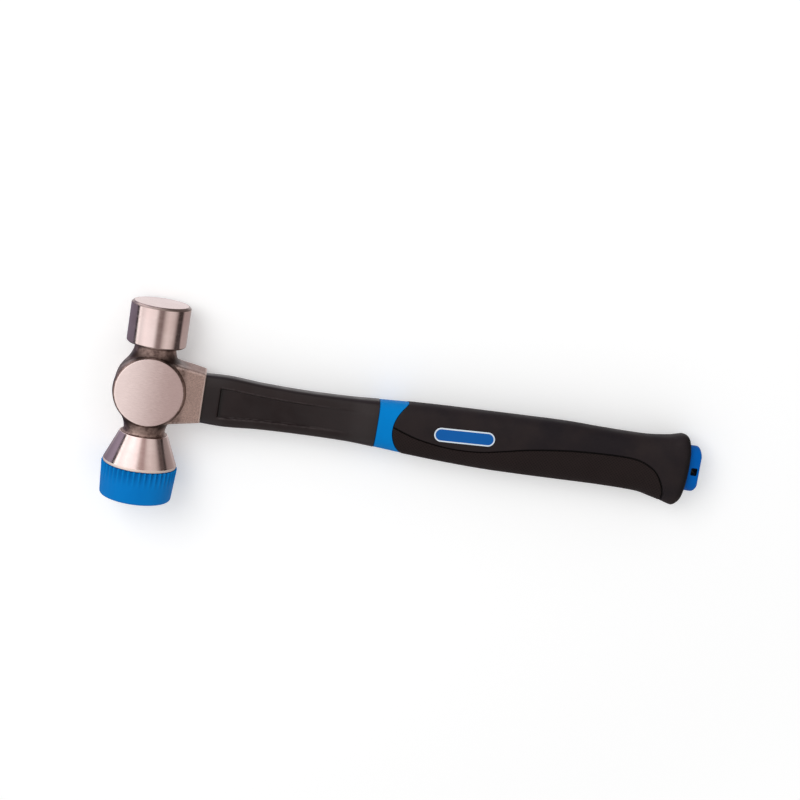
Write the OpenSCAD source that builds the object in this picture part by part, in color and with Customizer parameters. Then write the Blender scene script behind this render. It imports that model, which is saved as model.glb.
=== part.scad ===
// Two-faced shop hammer: a flat steel face on one side, a soft fluted cap on the other.
// +X runs down the handle, +Y up the head towards the steel face, +Z across the head.

/* [Head] */
// Distance from the handle's axis to the steel face
face_reach = 47.7; // [44:0.1:56]
// Diameter of the steel face
face_d = 32.5; // [30:0.1:36]
// Length of the striking cylinder
face_len = 22.9; // [18:0.1:24]
// Bevel round the steel face
face_bevel = 1.2; // [0.6:0.1:2]
// Diameter of the two necks
neck_d = 22.4; // [21:0.1:25]
// Fillet under the striking cylinder
neck_fillet = 2.6; // [1:0.1:3]
// Diameter of the round body between the necks
body_d = 40.6; // [38:0.1:42]
// Diameter of each ground cheek
cheek_d = 37; // [35:0.1:38]
// Width across the two ground cheeks
cheek_w = 26; // [24:0.1:28]
// Distance from the handle's axis to the shoulder of the flared poll
poll_reach = 25.2; // [24.5:0.1:30]
// Diameter of the poll at its shoulder
poll_top_d = 26.4; // [25:0.1:30]
// Diameter of the poll at its rim
poll_rim_d = 40.3; // [38:0.1:41]
// Length of the flare, from shoulder to rim
poll_len = 16.4; // [12:0.1:18]
// Height of the rim below the flare
rim_h = 1.3; // [1:0.1:2]
// Diameter of the spigot that the cap is pressed on
spigot_d = 33; // [30:0.1:34]
// Length of the spigot
spigot_len = 9; // [7:0.1:10]

/* [Socket] */
// Reach of the handle socket from the head's axis
socket_reach = 29.3; // [28:0.1:36]
// Height of the socket at its mouth
socket_h = 27.6; // [26:0.1:29]
// Width of the socket at its mouth
socket_w = 18.5; // [17:0.1:20]
// How much the socket's top rises towards the head
socket_rise = 3.1; // [2:0.1:5]
// How much the socket's underside swells towards the head
socket_flare = 3.2; // [1.5:0.1:3.5]
// Height of the eye through the head
eye_h = 20; // [19:0.1:21]
// Width of the eye through the head
eye_w = 12; // [11:0.1:13]
// Flare of the eye on each side at the crown
eye_flare = 1.6; // [0.5:0.1:2]

/* [Soft tip] */
// Diameter of the cap's mouth
tip_mouth_d = 41.8; // [41:0.1:43]
// Diameter of the cap where its face corner starts
tip_face_d = 39.4; // [38:0.1:40.5]
// Length of the cap
tip_len = 18.8; // [15:0.1:22]
// Radius of the corner round the cap's face
tip_corner_r = 1.6; // [1:0.1:4]
// Number of finger flutes round the mouth
flute_count = 42; // [36:1:48]
// Length of the flutes, from the mouth to where they die out
flute_len = 10.5; // [8:0.1:12]
// Depth of a flute at the mouth
flute_depth = 0.7; // [0.4:0.05:0.9]

/* [Handle] */
// Length of the bare shank, from the socket to the band
shank_len = 96; // [85:0.1:110]
// Height of the shank at its shoulder next to the socket
shoulder_h = 27.9; // [27:0.1:30]
// Height of the shank at its waist
waist_h = 24.1; // [23:0.1:26]
// Thickness of the shank
shank_t = 15.6; // [15:0.1:17]
// Depth of the recessed field on each side of the shank
recess_depth = 1; // [0.5:0.1:1.2]
// Border left above and below the recessed field
recess_border = 6; // [5:0.1:7]
// Height of the glass-fibre rod
rod_h = 17; // [15:0.1:17.5]
// Width of the glass-fibre rod
rod_w = 9; // [8:0.1:9.5]

/* [Grip] */
// Length from the front of the band to the butt
grip_len = 177.7; // [160:0.1:190]
// Height of the handle at the band
band_h = 26.6; // [25:0.1:29]
// Thickness of the handle at the band
band_t = 21.1; // [20:0.1:24]
// Greatest height of the grip
grip_h = 33; // [31:0.1:35]
// Greatest thickness of the grip
grip_t = 26.6; // [25:0.1:28]
// Height across the heel at the butt
heel_h = 40.8; // [38:0.1:42]
// Thickness across the heel
heel_t = 28; // [26:0.1:29]
// Wall of the soft overmould
grip_wall = 2.8; // [2.2:0.1:3.2]
// Distance from the front of the band to the nose of the overmould
band_len = 8.5; // [7:0.1:14]
// How far the band lies below the surface of the overmould
band_sink = 0.2; // [0.1:0.05:0.5]
// Radius of the overmould's rounded nose
nose_r = 17; // [16:0.5:24]
// Width of the groove round the palm pad
groove_w = 0.8; // [0.5:0.1:1.2]
// Depth of the groove round the palm pad
groove_depth = 0.9; // [0.5:0.1:1.2]

/* [Butt tab] */
// Height of the tab at the butt
tab_h = 23.4; // [21:0.1:25]
// Thickness of the tab
tab_t = 14; // [12:0.1:16]
// How far the tab stands out of the butt
tab_len = 6.6; // [5:0.1:9]
// Corner radius of the tab
tab_r = 1.8; // [1:0.1:4]
// Length of the lanyard hole along the handle
lanyard_l = 2.9; // [2:0.1:3.4]
// Height of the lanyard hole
lanyard_h = 3.6; // [2:0.1:5]
// Distance of the lanyard hole's centre from the end of the tab
lanyard_in = 3; // [2.2:0.1:4]

/* [Badge] */
// Length of the badge plate
badge_l = 33.8; // [28:0.1:36]
// Height of the badge plate
badge_h = 7.8; // [6:0.1:9]
// Distance of the badge's centre behind the front of the band
badge_at = 48.6; // [44:0.1:60]
// Depth of the badge's seat in the grip
badge_seat = 0.9; // [0.6:0.1:1.2]
// How far the badge stands proud of the grip
badge_proud = 0.25; // [0.1:0.05:0.5]

/* [Fits] */
// Radial clearance of the cap on its spigot
tip_clear = 0.05; // [0.02:0.01:0.1]
// Gap between the cap and the rim and spigot end that it seats on
tip_seat = 0.1; // [0.05:0.01:0.2]

/* [Hidden] */
$fn = 96;
// Points round one section of the handle
SECTION_POINTS = 28;
// Points in one arc of a turned profile
ARC_STEPS = 6;
// Margin by which cutting tools pass the faces that they cut
OVER = 1;

face_r = face_d / 2;
neck_r = neck_d / 2;
body_r = body_d / 2;
cheek_r = cheek_d / 2;
spigot_r = spigot_d / 2;
mouth_r = tip_mouth_d / 2;
face_edge_r = tip_face_d / 2;
face_under = face_reach - face_len;
rim_at = poll_reach + poll_len;
seat_at = rim_at + rim_h;
mouth_at = seat_at + tip_seat;
tip_end = mouth_at + tip_len;
// Small chamfer on machined edges
edge = 0.8;

band_x = socket_reach + shank_len;
butt_x = band_x + grip_len;
tab_x = butt_x + tab_len;
// The rod stops short of the crown and of the butt
rod_start = -body_r + 3;
rod_end = butt_x - 5;
// How far the handle's middle lies below the head's axis
axis_drop = 1.2;
// Distance of the heel's corner in front of the butt
heel_back = 5.5;
nose_x = band_x + band_len + nose_r;

// Place of the hammer's axes over the middle of its base, when it lies on its side
function origin() = [(max(mouth_r, body_r) - tab_x) / 2, (tip_end - face_reach) / 2, mouth_r];

// A point on a circle, and an arc of points between two angles
function on_circle(c, r, a) = [c[0] + r * cos(a), c[1] + r * sin(a)];
function arc(c, r, a0, a1) = [
    for (k = [0:ARC_STEPS]) on_circle(c, r, a0 + (a1 - a0) * k / ARC_STEPS)
];

// Smooth value of column k of a table of rows [x, ...] at x
function row_before(t, x, i = 0) =
    i >= len(t) - 2 || x <= t[i + 1][0] ? i : row_before(t, x, i + 1);
function rise(t, i, k) =
    let (a = max(i - 1, 0), b = min(i + 1, len(t) - 1)) (t[b][k] - t[a][k]) / (t[b][0] - t[a][0]);
function smooth(t, x, k) =
    let (
        i = row_before(t, x),
        d = t[i + 1][0] - t[i][0],
        s = (x - t[i][0]) / d,
        keep = (1 + 2 * s) * (1 - s) * (1 - s),
        lead = s * (1 - s) * (1 - s) * d,
        lag = s * s * (s - 1) * d
    )
    keep * t[i][k] + (1 - keep) * t[i + 1][k] + lead * rise(t, i, k) + lag * rise(t, i + 1, k);
function spread(a, b, step) =
    let (n = ceil((b - a) / step)) [for (k = [0:n]) a + (b - a) * k / n];

// Rows of the handle: [x, height, thickness, drop of the middle below the axis, squareness]
function along_shank(s) = socket_reach + s * shank_len;
function along_grip(s) = band_x + s * grip_len;
function between(a, b, s) = a + (b - a) * s;
HANDLE = [
    [along_shank(0), shoulder_h - 0.5, shank_t - 0.8, axis_drop, 3.4],
    [along_shank(0.14), shoulder_h, shank_t, axis_drop, 3.6],
    [along_shank(0.33), between(waist_h, shoulder_h, 0.34), shank_t, axis_drop, 3.6],
    [along_shank(0.585), waist_h, shank_t, axis_drop, 3.6],
    [along_shank(0.84), waist_h + 0.6, shank_t + 1.2, 1, 3.2],
    [band_x, band_h, band_t, 1, 2.7],
    [along_grip(0.095), between(band_h, grip_h, 0.355), between(band_t, grip_t, 0.58), 1.2, 2.5],
    [along_grip(0.215), between(band_h, grip_h, 0.68), grip_t - 0.8, 1.45, 2.5],
    [along_grip(0.35), grip_h - 0.6, grip_t - 0.2, 1.6, 2.5],
    [along_grip(0.47), grip_h - 0.1, grip_t, 1.35, 2.5],
    [along_grip(0.6), grip_h, grip_t, 1, 2.5],
    [along_grip(0.725), grip_h - 0.9, grip_t - 0.2, 1.15, 2.5],
    [along_grip(0.8525), grip_h - 0.4, grip_t - 0.2, 1.5, 2.5],
    [butt_x - 17, between(grip_h, heel_h, 0.32), between(grip_t, heel_t, 0.5), 2.15, 2.5],
    [butt_x - 11, between(grip_h, heel_h, 0.62), heel_t, 2.4, 2.5],
    [butt_x - heel_back, heel_h, heel_t, 2.4, 2.5],
    [butt_x - 3.5, heel_h - 0.9, heel_t - 1.2, 2, 2.5],
    [butt_x - 1.5, heel_h - 4.8, heel_t - 4, 1.4, 2.6],
    [butt_x, tab_h + 2.6, tab_t + 3, 1.2, 2.8]
];
BUTT_XS = concat(spread(butt_x - 14, butt_x - heel_back, 2.9), spread(butt_x - 3.5, butt_x, 1.2));
SHANK_XS = spread(socket_reach, band_x, 6.6);
GRIP_XS = concat(spread(band_x, butt_x - 17, 7.2), BUTT_XS);
CORE_XS = concat(spread(band_x, butt_x - 17, 16), BUTT_XS);
BAND_XS = spread(band_x, nose_x, 6.4);
BADGE_XS = spread(band_x + badge_at - badge_l / 2 - OVER, band_x + badge_at + badge_l / 2 + OVER, 6);

function signed_power(v, p) = sign(v) * pow(abs(v), p);

// One section of the handle at x, drawn in by inset all round and by flat on the two sides
function section(x, inset, flat) =
    let (
        half_h = smooth(HANDLE, x, 1) / 2 - inset,
        half_t = smooth(HANDLE, x, 2) / 2 - inset - flat,
        mid = -smooth(HANDLE, x, 3),
        p = 2 / smooth(HANDLE, x, 4)
    )
    [
        for (i = [0:SECTION_POINTS - 1])
            let (a = 360 * i / SECTION_POINTS)
            [x, mid + half_h * signed_power(sin(a), p), half_t * signed_power(cos(a), p)]
    ];

// Solid that runs through the handle's sections at xs
module loft(xs, inset = 0, flat = 0) {
    n = SECTION_POINTS;
    rings = len(xs);
    points = [for (x = xs) each section(x, inset, flat)];
    sides = [
        for (k = [0:rings - 2], i = [0:n - 1])
            let (a = k * n + i, b = k * n + (i + 1) % n)
            each [[a, b, b + n], [a, b + n, a + n]]
    ];
    start_cap = [for (i = [0:n - 1]) n - 1 - i];
    end_cap = [for (i = [0:n - 1]) (rings - 1) * n + i];
    polyhedron(points, concat(sides, [start_cap, end_cap]));
}

// Bar with half-round edges: height along Y, width along Z, from x0 to x1
module round_bar(x0, x1, h, w) {
    translate([x0, 0, 0])
        rotate([90, 0, 90])
            linear_extrude(height = x1 - x0) {
                square([h - w, w], center = true);
                translate([(h - w) / 2, 0])
                    circle(d = w);
                translate([(w - h) / 2, 0])
                    circle(d = w);
            }
}

// Turned solids on the head's axis, with the profile's second value measured up or down from the handle
module turned_up(profile) rotate([-90, 0, 0]) rotate_extrude() polygon(profile);
module turned_down(profile) rotate([90, 0, 0]) rotate_extrude() polygon(profile);

// Every piece is drawn on the hammer's own axes and set down here
module set_down() translate(origin()) children();

// Hollow flare that joins a neck to the round body
flare_r = 6;
flare_turn = 56;
flare_at = body_r + 0.2;
flare_root = 8;
function neck_flare() =
    let (
        c = [neck_r + flare_r, flare_at],
        wide = on_circle(c, flare_r, 180 + flare_turn)[0]
    )
    concat([[0, flare_root], [wide, flare_root]], arc(c, flare_r, 180 + flare_turn, 180));

module striking_end() {
    turned_up(concat(
        neck_flare(),
        arc([neck_r + neck_fillet, face_under - neck_fillet], neck_fillet, 180, 90),
        [
            [face_r - edge, face_under],
            [face_r, face_under + edge],
            [face_r, face_reach - face_bevel],
            [face_r - face_bevel, face_reach],
            [0, face_reach]
        ]
    ));
}

module poll_end() {
    poll_top_r = poll_top_d / 2;
    poll_rim_r = poll_rim_d / 2;
    step_r = poll_top_r - neck_r;
    turned_down(concat(
        neck_flare(),
        arc([poll_top_r, poll_reach - step_r], step_r, 180, 90),
        [
            [poll_rim_r, rim_at],
            [poll_rim_r, seat_at - rim_h / 2],
            [poll_rim_r - rim_h / 2, seat_at],
            [spigot_r, seat_at],
            [spigot_r, seat_at + spigot_len - edge],
            [spigot_r - edge, seat_at + spigot_len],
            [0, seat_at + spigot_len]
        ]
    ));
}

// Round body, swelling slightly between two chamfers that run past the cheeks
module round_body() {
    chamfer = 0.9;
    shoulder_r = min(cheek_r + chamfer, body_r);
    half = cheek_w / 2;
    swell = [
        for (k = [-4:4])
            let (s = k / 4)
            [body_r - (body_r - shoulder_r) * s * s, s * (half - chamfer)]
    ];
    rotate_extrude()
        polygon(concat(
            [[0, -half - OVER], [shoulder_r - chamfer - OVER, -half - OVER]],
            swell,
            [[shoulder_r - chamfer - OVER, half + OVER], [0, half + OVER]]
        ));
}

// Socket that the handle enters, rounded along its edges and swelling towards the head
module socket() {
    corner = 2.2;
    root_x = socket_reach - 19;
    top = socket_h / 2 - corner;
    side = socket_w / 2 - corner;
    corners = [
        for (s = [-1, 1]) each [
            [root_x, top + socket_rise, s * (side + socket_flare / 2)],
            [root_x, -top - socket_flare, s * (side + socket_flare / 2)],
            [socket_reach - edge, top, s * side],
            [socket_reach - edge, -top, s * side],
            [socket_reach, top - edge, s * (side - edge)],
            [socket_reach, edge - top, s * (side - edge)]
        ]
    ];
    hull()
        for (c = corners)
            translate(c - [OVER, 0, 0])
                rotate([0, 90, 0])
                    cylinder(r = corner, h = OVER, $fn = 32);
}

// Eye through the head, flaring at the crown so that the cast bond locks
module eye(x0, x1) {
    flare_x = -body_r / 2;
    round_bar(x0, x1, eye_h, eye_w);
    hull() {
        round_bar(flare_x, flare_x + edge, eye_h, eye_w, $fn = 32);
        round_bar(x0, x0 + edge, eye_h + 2 * eye_flare, eye_w + 2 * eye_flare, $fn = 32);
    }
}

module hammer_head() {
    cheek_tool = [2 * body_d, 2 * flare_at, body_d];
    color("silver")
        set_down()
            difference() {
                union() {
                    striking_end();
                    poll_end();
                    round_body();
                    socket();
                }
                for (side = [-1, 1])
                    translate([0, 0, side * (cheek_w + body_d) / 2])
                        cube(cheek_tool, center = true);
                eye(-body_r - OVER, socket_reach + OVER);
            }
}

// Radius of the cap's outer wall at a distance s from the handle's axis
function wall_r(s) = between(mouth_r, face_edge_r, (s - mouth_at) / (tip_len - tip_corner_r));

// One ring of the fluted skirt: full flutes at the mouth that die out along the wall
FLUTE_POINTS = 4;
function skirt_ring(s, trim) =
    let (
        n = flute_count * FLUTE_POINTS,
        depth = flute_depth * max(1 - (s - mouth_at) / flute_len, 0)
    )
    [
        for (i = [0:n - 1])
            let (
                across_flute = (i % FLUTE_POINTS) / FLUTE_POINTS,
                r = wall_r(s) - trim - 4 * depth * across_flute * (1 - across_flute),
                a = 360 * i / n
            )
            [r * cos(a), r * sin(a), s]
    ];

module fluted_skirt() {
    lip = 0.4;
    n = flute_count * FLUTE_POINTS;
    rows = concat([mouth_at], spread(mouth_at + lip, mouth_at + flute_len, 3.4));
    rings = len(rows);
    points = [for (k = [0:rings - 1]) each skirt_ring(rows[k], k == 0 ? lip : 0)];
    sides = [
        for (k = [0:rings - 2], i = [0:n - 1])
            let (a = k * n + i, b = k * n + (i + 1) % n)
            each [[a, b + n, b], [a, a + n, b + n]]
    ];
    start_cap = [for (i = [0:n - 1]) i];
    end_cap = [for (i = [0:n - 1]) rings * n - 1 - i];
    polyhedron(points, concat(sides, [start_cap, end_cap]));
}

module soft_tip() {
    fade_at = mouth_at + flute_len;
    floor_at = seat_at + spigot_len + tip_seat;
    skirt_step = 0.1;
    color("dodgerblue")
        set_down()
            difference() {
                union() {
                    rotate([90, 0, 0])
                        fluted_skirt();
                    turned_down(concat(
                        [[0, fade_at - OVER], [spigot_r, fade_at - OVER]],
                        [[wall_r(fade_at) - skirt_step, fade_at]],
                        arc([face_edge_r - tip_corner_r, tip_end - tip_corner_r], tip_corner_r, 0, 90),
                        [[0, tip_end]]
                    ));
                }
                rotate([90, 0, 0])
                    translate([0, 0, mouth_at - OVER])
                        cylinder(r = spigot_r + tip_clear, h = floor_at - mouth_at + OVER);
            }
}

module core_rod() {
    color("khaki")
        set_down()
            round_bar(rod_start, rod_end, rod_h, rod_w);
}

module eye_bond() {
    skin = 0.4;
    color("saddlebrown")
        set_down()
            difference() {
                intersection() {
                    eye(-body_r - OVER, socket_reach);
                    union() {
                        cylinder(r = body_r - skin, h = cheek_w, center = true);
                        translate([0, -eye_h, -eye_w])
                            cube([socket_reach, 2 * eye_h, 2 * eye_w]);
                    }
                }
                round_bar(rod_start, rod_end, rod_h, rod_w);
            }
}

// Outline of the recessed field on the shank's sides
module recess_outline() {
    x0 = socket_reach + 9;
    x1 = band_x - 12;
    corner = 2.5;
    rows = spread(x0, x1, 9);
    upper = [for (x = rows) [x, smooth(HANDLE, x, 1) / 2 - recess_border - smooth(HANDLE, x, 3)]];
    lower = [for (x = rows) [x, recess_border - smooth(HANDLE, x, 1) / 2 - smooth(HANDLE, x, 3)]];
    last = len(lower) - 1;
    offset(r = corner)
        offset(delta = -corner)
            polygon(concat(upper, [for (i = [0:last]) lower[last - i]]));
}

module shank() {
    color("dimgray")
        set_down()
            difference() {
                loft(SHANK_XS);
                round_bar(rod_start, rod_end, rod_h, rod_w);
                difference() {
                    linear_extrude(height = grip_t, center = true)
                        recess_outline();
                    loft(SHANK_XS, -OVER, recess_depth + OVER);
                }
            }
}

// Side outline of the soft overmould: a round nose, then straight back past the butt
module overmould_outline(grow = 0) {
    translate([nose_x, 0])
        circle(r = nose_r + grow);
    translate([nose_x, -heel_h])
        square([grip_len, 2 * heel_h]);
}

// Seam of the palm pad along the grip's side, from the nose to the heel
SEAM = [
    [along_grip(0.035), 1.4],
    [along_grip(0.085), -1.8],
    [along_grip(0.13), -4.2],
    [along_grip(0.2), -6.3],
    [along_grip(0.265), -7],
    [along_grip(0.335), -6.2],
    [along_grip(0.4), -4],
    [along_grip(0.46), -1.7],
    [along_grip(0.535), 0.4],
    [along_grip(0.61), 1.9],
    [along_grip(0.69), 2.7],
    [butt_x - 41, 3],
    [butt_x - 32, 2.5],
    [butt_x - 26, 0.8],
    [butt_x - 20, -2.8],
    [butt_x - 15.6, -8.8],
    [butt_x - 13.3, -15],
    [butt_x - 12.3, -20]
];

module pad_outline() {
    seam = [for (x = spread(SEAM[0][0], SEAM[len(SEAM) - 1][0], 3.2)) [x, smooth(SEAM, x, 1)]];
    polygon(concat([[SEAM[0][0], -heel_h]], seam, [[SEAM[len(SEAM) - 1][0], -heel_h]]));
}

module across(outline_w) linear_extrude(height = outline_w, center = true) children();

// Badge outline, level with the grip's own slope
module badge_outline() {
    tilt = 2.6;
    translate([band_x + badge_at, 1])
        rotate(tilt) {
            square([badge_l - badge_h, badge_h], center = true);
            for (end = [-1, 1])
                translate([end * (badge_l - badge_h) / 2, 0])
                    circle(d = badge_h);
        }
}

// Tab at the butt, with rounded corners in the side view
module tab() {
    mid = -axis_drop + 0.5;
    translate([0, 0, -tab_t / 2])
        linear_extrude(height = tab_t)
            offset(r = tab_r)
                translate([rod_end + tab_r, mid - tab_h / 2 + tab_r])
                    square([tab_x - rod_end - 2 * tab_r, tab_h - 2 * tab_r]);
}

module sleeve_core() {
    loft(CORE_XS, grip_wall);
}

module inner_sleeve() {
    color("dodgerblue")
        set_down()
            difference() {
                union() {
                    sleeve_core();
                    difference() {
                        loft(BAND_XS, band_sink);
                        across(2 * heel_t)
                            overmould_outline(groove_w);
                    }
                    tab();
                }
                round_bar(rod_start, rod_end, rod_h, rod_w);
                translate([tab_x - lanyard_in, -axis_drop, 0])
                    cube([lanyard_l, lanyard_h, 2 * tab_t], center = true);
            }
}

// Soft overmould before it is parted into shell and pad
module overmould() {
    difference() {
        intersection() {
            loft(GRIP_XS);
            across(2 * heel_t)
                overmould_outline();
        }
        sleeve_core();
        tab();
    }
}

module grip_shell() {
    color([0.13, 0.12, 0.12])
        set_down()
            difference() {
                overmould();
                across(2 * heel_t)
                    pad_outline();
                difference() {
                    across(2 * heel_t)
                        offset(delta = groove_w / 2)
                            pad_outline();
                    loft(CORE_XS, groove_depth);
                }
                difference() {
                    linear_extrude(height = heel_t)
                        badge_outline();
                    loft(BADGE_XS, badge_seat);
                }
            }
}

module palm_pad() {
    color([0.18, 0.17, 0.17])
        set_down()
            difference() {
                intersection() {
                    overmould();
                    across(2 * heel_t)
                        pad_outline();
                }
                difference() {
                    across(2 * heel_t)
                        difference() {
                            offset(delta = groove_w)
                                pad_outline();
                            offset(delta = -groove_w / 2)
                                pad_outline();
                        }
                    loft(CORE_XS, groove_depth);
                }
            }
}

module badge() {
    color("dodgerblue")
        set_down()
            difference() {
                intersection() {
                    loft(BADGE_XS, -badge_proud);
                    linear_extrude(height = heel_t)
                        badge_outline();
                }
                loft(BADGE_XS, badge_seat);
            }
}

hammer_head();
soft_tip();
core_rod();
eye_bond();
shank();
inner_sleeve();
grip_shell();
palm_pad();
badge();
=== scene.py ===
"""Looks of a two-faced shop hammer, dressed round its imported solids.

Shapes are worked out in millimetres on the hammer's own axes: X runs down the handle, Y up the
head towards the steel face and Z across the head. A mesh is laid into the frame, in metres, last.
"""

import logging
import math
from collections.abc import Sequence
from dataclasses import dataclass, replace
from enum import Enum, IntEnum
from typing import ClassVar, NamedTuple

import bmesh
import bpy
import numpy as np
from mathutils import Matrix, Vector


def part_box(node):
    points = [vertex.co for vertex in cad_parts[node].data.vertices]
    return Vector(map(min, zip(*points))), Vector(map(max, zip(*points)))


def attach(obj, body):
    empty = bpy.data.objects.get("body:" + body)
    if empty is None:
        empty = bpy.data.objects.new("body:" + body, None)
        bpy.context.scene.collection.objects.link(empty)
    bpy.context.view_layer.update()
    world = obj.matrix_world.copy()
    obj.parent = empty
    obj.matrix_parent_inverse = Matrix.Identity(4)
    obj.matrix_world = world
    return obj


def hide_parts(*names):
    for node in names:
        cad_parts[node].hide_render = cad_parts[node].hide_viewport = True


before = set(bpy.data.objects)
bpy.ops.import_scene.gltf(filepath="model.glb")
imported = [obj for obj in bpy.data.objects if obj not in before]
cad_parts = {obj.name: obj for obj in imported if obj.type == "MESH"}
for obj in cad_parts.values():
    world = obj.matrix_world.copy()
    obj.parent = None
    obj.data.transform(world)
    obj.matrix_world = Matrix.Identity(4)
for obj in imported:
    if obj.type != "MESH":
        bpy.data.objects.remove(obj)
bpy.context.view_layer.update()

Colour = tuple[float, float, float]
Profile = Sequence[tuple[float, float]]
Array = np.ndarray
Share = Array | float
Socket = bpy.types.NodeSocket

LOG = logging.getLogger("hammer")
MM = 0.001
QUARTER = math.pi / 2
FULL_TURN = 360.0
WHITE: Colour = (1.0, 1.0, 1.0)
# A noise texture stays between these for nearly all of a surface.
NOISE_LOW = 0.3
NOISE_HIGH = 0.7


class Body(Enum):
    """The bodies of the frame that pieces ride on."""

    HAMMER = "hammer"
    TIP = "tip"


class Mask(Enum):
    """The masks that a skin carries on its points."""

    # A lighter colour on edges and ridges, mostly a painted highlight.
    EDGE = "edge"
    # Painted shade in grooves, gaps, joins and holes, and along the butt's edge.
    PAINTED_SHADE = "hollow"


class Effect(Enum):
    """The shader node groups that more than one finish uses."""

    GRAIN = "fine_grain"
    STREAKS = "long_streaks"
    TONE = "tone_drift"
    # Lighter edges, mostly a painted highlight, and painted shade.
    WEAR_AND_PAINTED_LIGHT = "edge_wear"


class GripPart(Enum):
    """The two parts of the soft overmould, on either side of its seam."""

    SHELL = "grip_shell"
    PAD = "palm_pad"


class HeadSteel(IntEnum):
    """The finishes of the head, in the order of its material slots."""

    TURNED = 0
    FORGED = 1
    RIM = 2
    # Darker copy of the turned steel, painted shade on the chamfers and the underside.
    BEVEL = 3


class BadgePlastic(IntEnum):
    """The finishes of the badge, in the order of its material slots."""

    FIELD = 0
    BORDER = 1


@dataclass(frozen=True)
class Datum:
    """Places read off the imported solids, in millimetres on the hammer's own axes."""

    origin: tuple[float, float, float]
    socket_x: float
    band_x: float
    butt_x: float
    tab_x: float
    face_y: float
    mouth_y: float
    tip_y: float
    mouth_r: float

    @classmethod
    def from_frame(cls) -> "Datum":
        """Reads the axes off the rod and the cap, and the reaches off the other nodes.

        Returns:
            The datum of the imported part.
        """
        span = {name: [np.array(corner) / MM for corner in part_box(name)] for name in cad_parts}
        rod_low, rod_high = span["core_rod"]
        tip_low, tip_high = span["soft_tip"]
        origin = (rod_low + rod_high) / 2
        origin[0] = (tip_low[0] + tip_high[0]) / 2
        return cls(
            origin=tuple(origin),
            socket_x=span["shank"][0][0] - origin[0],
            band_x=span["inner_sleeve"][0][0] - origin[0],
            butt_x=span["grip_shell"][1][0] - origin[0],
            tab_x=span["inner_sleeve"][1][0] - origin[0],
            face_y=span["hammer_head"][1][1] - origin[1],
            mouth_y=tip_high[1] - origin[1],
            tip_y=tip_low[1] - origin[1],
            mouth_r=(tip_high[0] - tip_low[0]) / 2,
        )

    def lay(self, points: Array) -> Array:
        """Moves points from the hammer's axes, in millimetres, into the frame, in metres."""
        return (points + np.array(self.origin)) * MM


def ease(value: Array, low: float, high: float) -> Array:
    """Rises smoothly from 0 at low to 1 at high."""
    step = np.clip((value - low) / (high - low), 0, 1)
    return step * step * (3 - 2 * step)


def nearness(a: Array, b: Array, reach: float) -> Array:
    """Rises from 0 where two distance fields differ by the reach to 1 where they are equal."""
    return np.maximum(reach - np.abs(a - b), 0) / reach


def blend_min(a: Array, b: Array, reach: float) -> Array:
    """Joins two distance fields with a fillet of about the given reach."""
    return np.minimum(a, b) - nearness(a, b, reach) ** 2 * reach / 4


def blend_max(a: Array, b: Array, reach: float) -> Array:
    """Intersects two distance fields with a rounded edge of about the given reach."""
    return -blend_min(-a, -b, reach)


def way_shares(count: int) -> Array:
    """Gives evenly spaced shares of a way, from just after its start to its end."""
    return np.linspace(0, 1, count + 1)[1:]


def through(table: Array, x: Array, column: int) -> Array:
    """Reads a smooth curve through the rows of a table.

    Args:
        table: Rows whose first column rises and whose other columns are values there.
        x: Places to read at.
        column: The column to read.

    Returns:
        The values at x, on a cubic through the rows.
    """
    places, values = table[:, 0], table[:, column]
    last = len(table) - 1
    before = np.maximum(np.arange(len(table)) - 1, 0)
    after = np.minimum(np.arange(len(table)) + 1, last)
    slope = (values[after] - values[before]) / (places[after] - places[before])
    row = np.clip(np.searchsorted(places, x, side="left") - 1, 0, last - 1)
    width = places[row + 1] - places[row]
    s = np.clip((x - places[row]) / width, 0, 1)
    keep = (1 + 2 * s) * (1 - s) ** 2
    lead = s * (1 - s) ** 2 * width
    lag = s * s * (s - 1) * width
    between = keep * values[row] + (1 - keep) * values[row + 1]
    return between + lead * slope[row] + lag * slope[row + 1]


def rounded(profile: Profile, radius: float, steps: int = 4, most: float = 0.45) -> Profile:
    """Softens the inner corners of a profile.

    Args:
        profile: Corner points of an open outline.
        radius: How far from a corner the softening starts.
        steps: Number of stretches in one softened corner.
        most: Largest share of a side that the softening of one corner takes.

    Returns:
        The outline with each inner corner drawn as a short curve.
    """
    points = [np.array(p, float) for p in profile]
    result = [tuple(points[0])]
    for a, corner, b in zip(points, points[1:], points[2:]):
        ends = []
        for side in (a - corner, b - corner):
            length = np.linalg.norm(side)
            ends.append(corner + side / length * min(radius, length * most))
        start, end = ends
        for k in range(steps + 1):
            s = k / steps
            result.append(tuple((1 - s) ** 2 * start + 2 * s * (1 - s) * corner + s * s * end))
    result.append(tuple(points[-1]))
    return result


def stand(name: str, data: bpy.types.ID) -> bpy.types.Object:
    """Puts a mesh, a lamp or a camera into the scene.

    Args:
        name: Name of the object.
        data: What the object shows.

    Returns:
        The object, linked to the scene.
    """
    made = bpy.data.objects.new(name, data)
    bpy.context.scene.collection.objects.link(made)
    return made


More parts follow.
